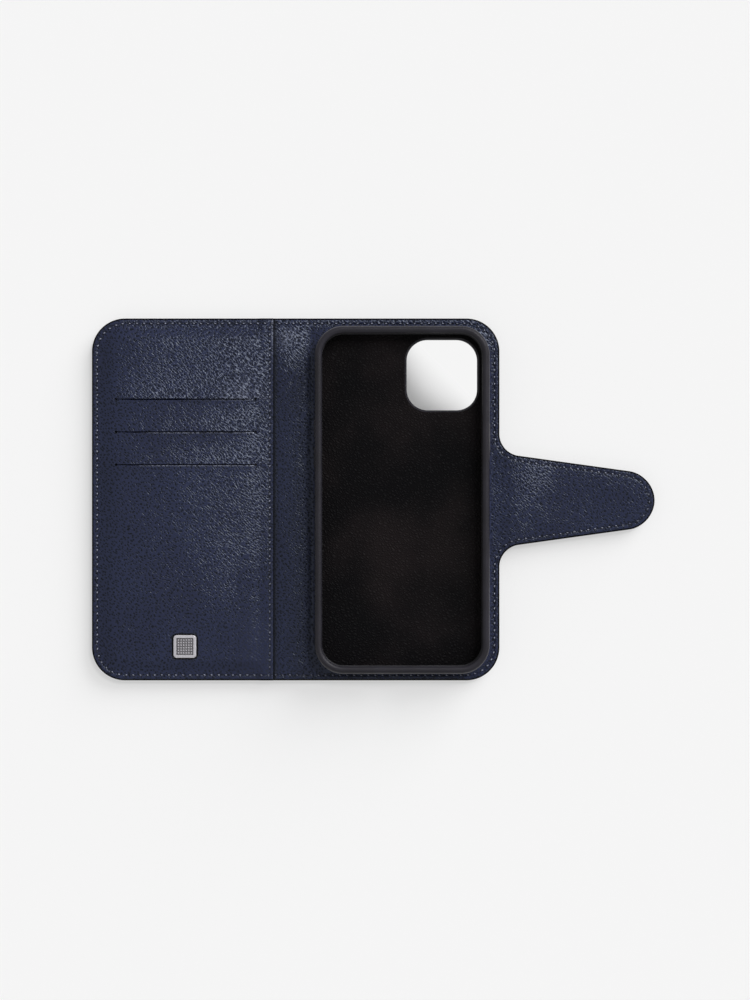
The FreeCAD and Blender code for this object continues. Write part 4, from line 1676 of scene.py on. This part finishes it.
@dataclass
class Sewing:
    """Lockstitches along the case's edges, on both faces."""

    work: LeatherWork
    radius: float = 0.25
    sink: float = 0.34
    proud: float = 0.75
    slant: float = math.radians(-20)

    def master(self) -> Piece:
        """One stitch of length 1 along X, its ends bent down into their holes.

        Returns:
            The stitch.
        """
        select_only()
        bpy.ops.mesh.primitive_cylinder_add(vertices=8, radius=self.radius, depth=1.0,
                                            rotation=(0, QUARTER, 0))
        stitch = bpy.context.object
        stitch.name = "stitch_master"
        bpy.ops.object.transform_apply(rotation=True)
        edit(stitch)
        for place in (-0.42, -0.33, -0.22, -0.1, 0.1, 0.22, 0.33, 0.42):
            slice_at(0, place)
        leave()
        spots = places(stitch)
        part = np.abs(spots[:, 0]) * 2
        waist = np.where(part > 0.99, 0.55, 1.0 - 0.10 * part ** 2)
        spots[:, 1:] *= waist[:, None]
        spots[:, 2] -= (self.sink + self.radius) * part ** 3
        set_places(stitch, spots)
        return stitch

    def highlight_paint(self, x: float, y: float) -> float:
        """How bright the thread's painted highlight is: least round the strap's tip and low beside
        the fold.

        Args:
            x: The stitch's place along X.
            y: The stitch's place along Y.

        Returns:
            A share from 0 to 1.
        """
        tip = smooth((x - 104) / 10)
        inner = hump(x - self.work.card_edge, 6) * smooth((-10 - y) / 30)
        foot = hump(x + 27, 22) * smooth((-70 - y) / 4)
        return float(1 - 0.55 * tip - 0.35 * inner - 0.4 * foot)

    def run(self, name: str, master: Piece, seams: list[Seam], face: int) -> Piece:
        """Lay stitches from hole to hole and join them.

        Args:
            name: The piece's name.
            master: The stitch to copy.
            seams: Start, end and height of each stitch.
            face: 1 on the lining's face, -1 on the outer face.

        Returns:
            The thread as one piece.
        """
        laid = []
        for index, (a, b, z) in enumerate(seams):
            run = Vector(b) - Vector(a)
            wander = math.sin(index * 2.4) * 0.1
            turn = math.atan2(run.y, run.x) + self.slant * face + wander
            if math.sin(turn) > 0:
                turn += math.pi
            stitch = copy_of(master, f"{name}_{index}")
            centre = (Vector(a) + Vector(b)) / 2
            # Painted highlight along the stitch's crown, toward one end, its strength set by
            # place.
            crown = np.clip(0.9 - 3.0 * np.abs(places(stitch)[:, 0] + 0.12), 0, 1)
            note(stitch, "crown", crown * self.highlight_paint(centre.x, centre.y))
            stitch.matrix_world = (
                Matrix.Translation((centre.x, centre.y, z + 0.03 * math.sin(index * 1.7)))
                @ Matrix.Rotation(turn, 4, "Z")
                @ Matrix.Diagonal((run.length * 1.1, 1.0, face, 1.0)))
            laid.append(stitch)
        select_only(*laid)
        bpy.ops.object.transform_apply(location=True, rotation=True, scale=True)
        thread = weld(laid, name)
        if face < 0:
            edit(thread)
            face_out()
            leave()
        return thread

    def seams(self, face: int) -> list[Seam]:
        """Start, end and height of every stitch round the case's outline.

        Args:
            face: 1 on the lining's face, -1 on the outer face.

        Returns:
            The stitches.
        """
        work = self.work
        holes = work.cut.holes
        ends = work.cut.ends(holes)
        mid = (holes + ends) / 2
        x, y = mid[:, 0], mid[:, 1]
        away = np.full(len(x), work.cut.seam_inset)
        far = np.full(len(x), CLEAR)
        if face < 0:
            z = work.outer_face(x, y, away, far) - self.radius + 0.1
            z = np.maximum(z, self.radius + work.lie(x) + 0.01)
        else:
            card = work.card_top(x, y, away, far)
            z = np.where(x < work.card_edge, card, work.lining_top(x, y, away, far))
            z = z + self.radius * self.proud
        return self.listed(holes, ends, z)

    def card_seams(self) -> list[Seam]:
        """The stitches down the card panel's free edge.

        Returns:
            The stitches.
        """
        work = self.work
        holes = work.card_holes()[:-1]
        ends = work.cut.ends(work.card_holes())[:-1]
        mid = (holes + ends) / 2
        x, y = mid[:, 0], mid[:, 1]
        far = np.full(len(x), CLEAR)
        z = work.card_top(x, y, work.cut.inward(x, y), far) + self.radius * self.proud
        return self.listed(holes, ends, z)

    @staticmethod
    def listed(holes: np.ndarray, ends: np.ndarray, z: np.ndarray) -> list[Seam]:
        """Start, end and height, stitch by stitch."""
        return [(tuple(a), tuple(b), float(c)) for a, b, c in zip(holes, ends, z)]

    def sew(self, material: bpy.types.Material) -> None:
        """Sew both faces, with one piece of thread for each fold.

        Args:
            material: The thread's finish.
        """
        master = self.master()
        work = self.work
        inner = self.seams(1)
        marks = (None, work.card_edge, work.mid_spine, work.mid_back, work.mid_riser, None)
        names = ("card_panel", "hinge", "fold_side", "strap_side", "strap")
        for index, name in enumerate(names):
            found = self.between(inner, marks[index], marks[index + 1])
            if index == 0:
                found += self.card_seams()
            thread = finish(self.run(f"stitches_{name}", master, found, 1), material, 60)
            if index == 0:
                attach(thread, "cover")
            else:
                work.bend(thread, index - 1)
        outer = self.seams(-1)
        marks = (None, work.mid_spine, work.mid_back, work.mid_riser, None)
        for index, name in enumerate(("cover", "fold_side", "strap_side", "strap")):
            found = self.between(outer, marks[index], marks[index + 1])
            thread = finish(self.run(f"outer_stitches_{name}", master, found, -1), material, 60)
            work.bend(thread, index)
        bpy.data.objects.remove(master)

    @staticmethod
    def between(seams: list[Seam], start: float | None, end: float | None) -> list[Seam]:
        """The stitches whose middle lies between two places along X.

        Args:
            seams: The stitches.
            start: Where to start, or None for the first.
            end: Where to end, or None for the last.

        Returns:
            The stitches found.
        """
        found = []
        for a, b, z in seams:
            x = (a[0] + b[0]) / 2
            if (start is None or x >= start) and (end is None or x < end):
                found.append((a, b, z))
        return found


# ---------------------------------------------------------------- shell


@dataclass
class PhoneShell:
    """The moulded shell: rounded rim with a lip inside, floor, collar and side openings."""

    wall: float = SHELL_WALL
    lip: float = 1.05
    lip_height: float = 1.05
    floor: float = 1.0
    rim_round: float = 1.6
    lip_round: float = 1.52
    lip_drop: float = 0.95
    base_round: float = 0.6
    base_steps: tuple[tuple[float, float], ...] = ((0.18, 0.42), (0.42, 0.18))
    cove_height: float = 0.6
    cove_steps: tuple[tuple[float, float], ...] = ((0.18, -0.38), (0.42, -0.22))
    corner: float = SHELL_CORNER
    collar_wall: float = 1.1
    collar_foot: float = 0.25
    window_steps: int = 14
    key_ledge: float = 0.96
    mute_size: tuple[float, float] = (9.6, 5.2)
    mute_down: float = 29.7
    port_size: tuple[float, float] = (13.0, 5.2)
    speaker_size: tuple[float, float] = (11.0, 2.4)
    speaker_off: float = 17.5
    surround: float = 1.2
    recess: float = 0.5
    cutter_half: float = 2.2
    steps: int = 22

    def make(self, material: bpy.types.Material) -> Piece:
        """Model the shell and stand it in for its node.

        Args:
            material: Its finish.

        Returns:
            The shell.
        """
        lo, hi = low("phone_shell"), high("phone_shell")
        bottom = high("shell_bonding_sheet").z
        shell = rounded_plate("moulded_shell", (lo.x, hi.x, lo.y, hi.y), self.corner,
                              bottom + self.base_round, self.steps)
        raise_face(hi.z - self.rim_round - bottom - self.base_round)
        draw_in(*quarter_round(self.rim_round, self.rim_round, 8))
        draw_in((self.wall + self.lip - self.rim_round - self.lip_round, 0))
        draw_in(*quarter_round(self.lip_round, self.lip_drop, 7, down=True))
        # Under the lip the wall steps back out to its full width.
        raise_face(self.lip_drop - self.lip_height - 0.001)
        raise_face(-0.001)
        half_x = (hi.x - lo.x) / 2 - self.wall - self.lip
        half_y = (hi.y - lo.y) / 2 - self.wall - self.lip
        centre = ((lo.x + hi.x) / 2, (lo.y + hi.y) / 2, 0)
        bpy.ops.transform.resize(value=(1 + self.lip / half_x, 1 + self.lip / half_y, 1),
                                 center_override=centre)
        # The cove round the floor, and the rounded edge underneath.
        drop = hi.z - self.lip_height - bottom - self.floor
        raise_face(self.cove_height - drop)
        draw_in(*self.cove_steps)
        pick(Pick.FACES, lambda f: middle(f).z < bottom + self.base_round + 0.001
             and abs(f.normal.z) > 0.9)
        draw_in(*self.base_steps)
        face_out()
        leave()
        self.add_collar(shell, bottom)
        bore(shell, *self.openings())
        finish(shell, material, 40)
        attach(shell, "back")
        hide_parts("phone_shell")
        return shell

    def add_collar(self, shell: Piece, bottom: float) -> None:
        """Join the camera collar to the floor and open the window through both.

        Args:
            shell: The shell.
            bottom: Height of the shell's underside.
        """
        collar = window_block(self.collar_wall, self.collar_foot, bottom + self.floor / 2,
                              self.window_steps)
        modify(shell, "BOOLEAN", object=collar, operation="UNION", solver="EXACT")
        bpy.data.objects.remove(collar)
        bore(shell, window_block(0.0, -1.0, bottom + 3, self.window_steps))

    def slot_cutter(self, centre: Vector, length: float, height: float, along: str) -> Piece:
        """A round-ended block that cuts through a wall.

        Args:
            centre: Its middle.
            length: Its length along the wall.
            height: Its height.
            along: The axis that the wall runs along, X or Y.

        Returns:
            The block.
        """
        half = length / 2
        cutter = rounded_plate("slot_cutter", (-half, half, -height / 2, height / 2),
                               height / 2 - 0.02, -self.cutter_half, 8)
        raise_face(2 * self.cutter_half)
        face_out()
        leave()
        turn = Matrix.Rotation(QUARTER, 4, "X")
        if along == "Y":
            turn = Matrix.Rotation(QUARTER, 4, "Z") @ turn
        cutter.matrix_world = Matrix.Translation(centre) @ turn
        select_only(cutter)
        bpy.ops.object.transform_apply(location=True, rotation=True, scale=True)
        return cutter

    def sunk_slot(self, at: Callable[[float], Vector], size: tuple[float, float], along: str
                  ) -> list[Piece]:
        """Cutters for an opening and for the sunk surround outside it.

        Args:
            at: Gives the opening's middle at a depth into the wall.
            size: The opening's length and height.
            along: The axis that the wall runs along, X or Y.

        Returns:
            The two cutters.
        """
        length, height = size
        return [self.slot_cutter(at(self.wall / 2), length, height, along),
                self.slot_cutter(at(self.recess - self.cutter_half), length + self.surround,
                                 height + self.surround, along)]

    def openings(self) -> list[Piece]:
        """Cutters for the keys, the mute switch, the port and the speaker slots.

        Returns:
            The cutters.
        """
        lo, hi = low("phone_shell"), high("phone_shell")
        key_z = (low("volume_up_cover").z + high("volume_up_cover").z) / 2
        cutters = []
        for name in ("volume_up_cover", "volume_down_cover", "side_button_cover"):
            first, last = low(name), high(name)
            side = lo.x + self.wall / 2 if first.x < 0 else hi.x - self.wall / 2
            place = Vector((side, (first.y + last.y) / 2, key_z))
            length, height = last.y - first.y, last.z - first.z
            cutters.append(self.slot_cutter(place, length - self.key_ledge,
                                            height - self.key_ledge, "Y"))
        mute_y = hi.y - self.wall - PHONE_PLAY - self.mute_down
        cutters += self.sunk_slot(lambda depth: Vector((lo.x + depth, mute_y, key_z)),
                                  self.mute_size, "Y")
        middle_x = (lo.x + hi.x) / 2
        cutters += self.sunk_slot(lambda depth: Vector((middle_x, lo.y + depth, key_z)),
                                  self.port_size, "X")
        for side in (-1, 1):
            place = Vector((middle_x + side * self.speaker_off, lo.y + self.wall / 2, key_z))
            cutters.append(self.slot_cutter(place, *self.speaker_size, "X"))
        return cutters


# ---------------------------------------------------------------- badge


@dataclass
class Badge:
    """A small square metal plate with a bevelled rim and a hobnail field."""

    corner: float = 1.4
    thick: float = 0.9
    rim: float = 1.35
    rim_round: float = 0.3
    rim_flat: float = 0.9
    depth: float = 0.42
    shade: float = 0.8
    field_gap: float = 0.25
    nails: int = 6
    nail_gap: float = 0.07
    nail_slope: float = 0.38
    nail_rise: float = 0.34

    def make(self, material: bpy.types.Material) -> Piece:
        """Model the plate and stand it in for its node.

        Args:
            material: Its finish.

        Returns:
            The plate.
        """
        lo, hi = low("emblem_plate"), high("emblem_plate")
        box = (lo.x, hi.x, lo.y, hi.y)
        plate = rounded_plate("badge_plate", box, self.corner, hi.z - self.thick, 8)
        raise_face(self.thick - self.rim_round)
        draw_in(*quarter_round(self.rim_round, self.rim_round, 4))
        draw_in((self.rim_flat, 0), (0.06, -0.04), (0.10, 0.04 - self.depth))
        self.hobnails(lo, hi)
        face_out()
        leave()
        # Painted shade in the sunk hobnail field, more where it lies deeper.
        depth = hi.z - places(plate)[:, 2]
        sunk_shade = rounded_gap(*places(plate).T[:2], box, self.corner) < -0.9
        note(plate, "hollow", sunk_shade * smooth((depth - 0.12) / 0.3) * self.shade)
        finish(plate, material, 25)
        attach(plate, "cover")
        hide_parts("emblem_plate")
        return plate

    def hobnails(self, lo: Vector, hi: Vector) -> None:
        """Divide the sunk field in squares and draw each up to a small point.

        Args:
            lo: The plate's lowest corner.
            hi: The plate's highest corner.
        """
        form = bmesh.from_edit_mesh(bpy.context.object.data)
        field_face = next(f for f in form.faces if f.select)
        z = middle(field_face).z
        inset = self.rim + self.field_gap
        span = hi.x - lo.x - 2 * inset
        for axis, start in ((0, lo.x + inset), (1, lo.y + inset)):
            for index in range(self.nails + 1):
                slice_at(axis, start + span * index / self.nails)
        x0, x1, y0, y1 = lo.x + inset, hi.x - inset, lo.y + inset, hi.y - inset
        pick(Pick.FACES, lambda f: abs(middle(f).z - z) < NEAR and x0 < middle(f).x < x1
             and y0 < middle(f).y < y1)
        for inward, rise in ((self.nail_gap, 0.0), (self.nail_slope, self.nail_rise)):
            bpy.ops.mesh.inset(thickness=inward, depth=rise, use_individual=True)


# ---------------------------------------------------------------- studio


@dataclass
class Studio:
    """Pale floor, soft light from the upper right, and a camera straight above."""

    camera_height: float = 1.0
    lens: float = 81.8
    centre: tuple[float, float] = (0.75, -0.26)
    floor_colour: Colour = (0.9, 0.9, 0.9, 1.0)
    # The painted shadow's colour under the camera window.
    window_shadow_colour: Colour = (0.5, 0.5, 0.5, 1.0)
    floor_glow: float = 0.913
    drop: float = 3.4
    floor_size: float = 6.0
    haze: float = 0.52
    world_strength: float = 0.40

    def floor(self) -> None:
        """Lay the floor, with a painted shadow and painted light where it shows through the camera
        window.
        """
        select_only()
        bpy.ops.mesh.primitive_plane_add(size=self.floor_size, location=(0, 0, -self.drop * MM))
        floor = bpy.context.object
        floor.name = "studio_floor"
        edit(floor)
        bpy.ops.mesh.select_all(action="SELECT")
        bpy.ops.mesh.subdivide(number_cuts=4)
        leave()
        n = Nodes("studio_floor_paper")
        place = n.add("TexCoord", "Object")
        fine = n.noise(place, 1.5, 3.0)
        under, across = self.under_window(n, place)
        # Painted shadow on the paper toward the lower left of the camera window.
        shadowed_paper = n.blend(n.math("MULTIPLY", under, n.span(across, -2, -30)), self.floor_colour,
                       self.window_shadow_colour)
        paper = n.add("BsdfPrincipled", 0, {"Base Color": shadowed_paper, "Roughness": 0.9,
                                            "Specular IOR Level": 0.0,
                                            "Normal": n.bump(fine, 0.05, 0.02)})
        glow = n.add("Emission", 0, {"Color": (*(self.floor_glow,) * 3, 1.0), "Strength": 1.0})
        # Outside the window the floor glows evenly; under it, painted light rises toward the upper
        # right.
        share = n.add("Mix", 0, {0: under, 2: self.haze, 3: n.span(across, -22, 4)})
        seen = n.math("MULTIPLY", n.add("LightPath", "Is Camera Ray"), share)
        floor.data.materials.append(n.end(n.add("MixShader", 0, {0: seen, 1: paper, 2: glow})))

    def under_window(self, n: Nodes, place: Socket) -> tuple[Socket, Socket]:
        """Whether a place lies under the camera window, and how far across it in millimetres.

        Args:
            n: The material's nodes.
            place: Places on the floor.

        Returns:
            The two values.
        """
        lo, hi = camera_window()
        centre = (lo + hi) / 2
        off = n.vector("SUBTRACT", {0: place, 1: centre * MM})
        off = n.vector("SCALE", {0: off, "Scale": 1 / MM})
        parts = n.add("SeparateXYZ", 0, {0: off}).node.outputs
        wide = n.math("MAXIMUM", n.math("ABSOLUTE", parts[0]), n.math("ABSOLUTE", parts[1]))
        return n.math("LESS_THAN", wide, (hi.x - lo.x) / 2 + 1), n.math("ADD", parts[0], parts[1])

    def light(self, name: str, azimuth: float, elevation: float, share: float, spread: float,
              glossy: bool) -> None:
        """Hang one far, soft light.

        Args:
            name: The light's name.
            azimuth: Its bearing from the X axis in degrees.
            elevation: Its height over the floor in degrees.
            share: Its part of the light on the floor, of which the whole is about 1.
            spread: Its width in degrees.
            glossy: Whether it shows only in what shines, or else only lights what is matt.
        """
        data = bpy.data.lights.new(name, "SUN")
        height = math.sin(math.radians(elevation))
        data.energy = share * math.pi / height
        data.angle = math.radians(spread)
        lamp = bpy.data.objects.new(name, data)
        out = math.sqrt(1 - height ** 2)
        bearing = math.radians(azimuth)
        source = Vector((out * math.cos(bearing), out * math.sin(bearing), height))
        lamp.rotation_euler = source.to_track_quat("Z", "Y").to_euler()
        lamp.visible_glossy = glossy
        lamp.visible_diffuse = not glossy
        bpy.context.scene.collection.objects.link(lamp)

    def world(self) -> None:
        """Even pale surroundings."""
        world = bpy.data.worlds.new("studio_world")
        world.use_nodes = True
        tree = world.node_tree
        path = tree.nodes.new("ShaderNodeLightPath")
        level = tree.nodes.new("ShaderNodeMix")
        level.inputs["A"].default_value = self.world_strength
        level.inputs["B"].default_value = self.floor_glow
        tree.links.new(path.outputs["Is Camera Ray"], level.inputs["Factor"])
        back = tree.nodes["Background"]
        back.inputs["Color"].default_value = (1.0, 1.0, 1.0, 1.0)
        tree.links.new(level.outputs["Result"], back.inputs["Strength"])
        bpy.context.scene.world = world

    def camera(self) -> None:
        """Hang the camera."""
        data = bpy.data.cameras.new("studio_camera")
        data.lens = self.lens
        data.sensor_width = 36.0
        camera = bpy.data.objects.new("studio_camera", data)
        camera.location = (self.centre[0] * MM, self.centre[1] * MM, self.camera_height)
        bpy.context.scene.collection.objects.link(camera)
        bpy.context.scene.camera = camera

    def set_up(self) -> None:
        """Build the studio."""
        self.floor()
        self.light("key_light", 47, elevation=62, share=0.22, spread=9, glossy=False)
        self.light("side_light", 47, elevation=24, share=0.40, spread=44, glossy=False)
        self.light("sheen_light", 47, elevation=50, share=0.245, spread=25, glossy=True)
        self.world()
        self.camera()
        bpy.context.scene.view_settings.view_transform = "Standard"


# ---------------------------------------------------------------- assembly


def dress_nodes() -> None:
    """Give every node that stays on show its own finish."""
    moulding = SoftMoulding("soft_touch_keys", tint(38, 37, 42), tint(46, 45, 50)).make()
    board = PressedBoard("pressed_board", tint(92, 84, 74), tint(122, 112, 98)).make()
    bond = PressedBoard("bonding_sheet", tint(40, 40, 44), tint(52, 52, 56), rough=0.6).make()
    fabric = TwillFabric("pocket_twill", tint(20, 22, 32), tint(12, 13, 20)).make()
    steel = BrushedMetal("plated_steel", tint(168, 168, 170), tint(140, 140, 143)).make()
    lining = GrainedSheet("shell_floor_grain", tint(4, 3, 5), tint(23, 18, 19)).make()
    finishes = {
        moulding: ("volume_up_cover", "volume_down_cover", "side_button_cover"),
        board: ("back_stiffener_board", "cover_stiffener_board", "spine_stiffener",
                "strap_reinforcement"),
        bond: ("shell_bonding_sheet",),
        fabric: ("pocket_lining_top", "pocket_lining_middle", "pocket_lining_bottom"),
        steel: ("cover_keeper_plate", "emblem_backing_washer", "strap_magnet"),
        lining: ("shell_floor_lining",),
    }
    for material, names in finishes.items():
        for name in names:
            node = frame["nodes"][name]
            node.data.materials.clear()
            node.data.materials.append(material)
            LOG.info("%s dressed in %s", name, material.name)


def main() -> None:
    """Build the case's looks and the studio round it."""
    logging.basicConfig(level=logging.INFO, format="%(name)s %(message)s")
    navy = GrainedLeather("navy_grained_leather", tint(28, 32, 57), tint(32, 37, 63)).make()
    outer = GrainedLeather("navy_outer_leather", tint(27, 31, 55), tint(31, 36, 61),
                           pit_shade=tint(9, 11, 23), dull=0.58).make()
    # The thread's second colour is its painted highlight.
    thread = TwistedThread("navy_thread", tint(20, 24, 46), tint(160, 164, 182)).make()
    dress_nodes()
    cut = CutOutline()
    work = LeatherWork(cut, EdgePaint("edge_paint", tint(3, 3, 4), tint(14, 14, 18)).make())
    blank = cut.cut("leather_blank")
    work.make_card_panel(blank, navy)
    work.make_lining(blank, navy)
    work.make_outer(blank, outer)
    bpy.data.objects.remove(blank)
    Sewing(work).sew(thread)
    PhoneShell().make(SoftMoulding("soft_touch_shell", tint(20, 18, 26), tint(29, 27, 36),
                                  shine=0.5).make())
    Badge().make(BrushedMetal("badge_metal", tint(214, 212, 217), tint(186, 184, 190),
                              rough=0.32, metal=0.4).make())
    Studio().set_up()


if __name__ == "__main__":
    main()
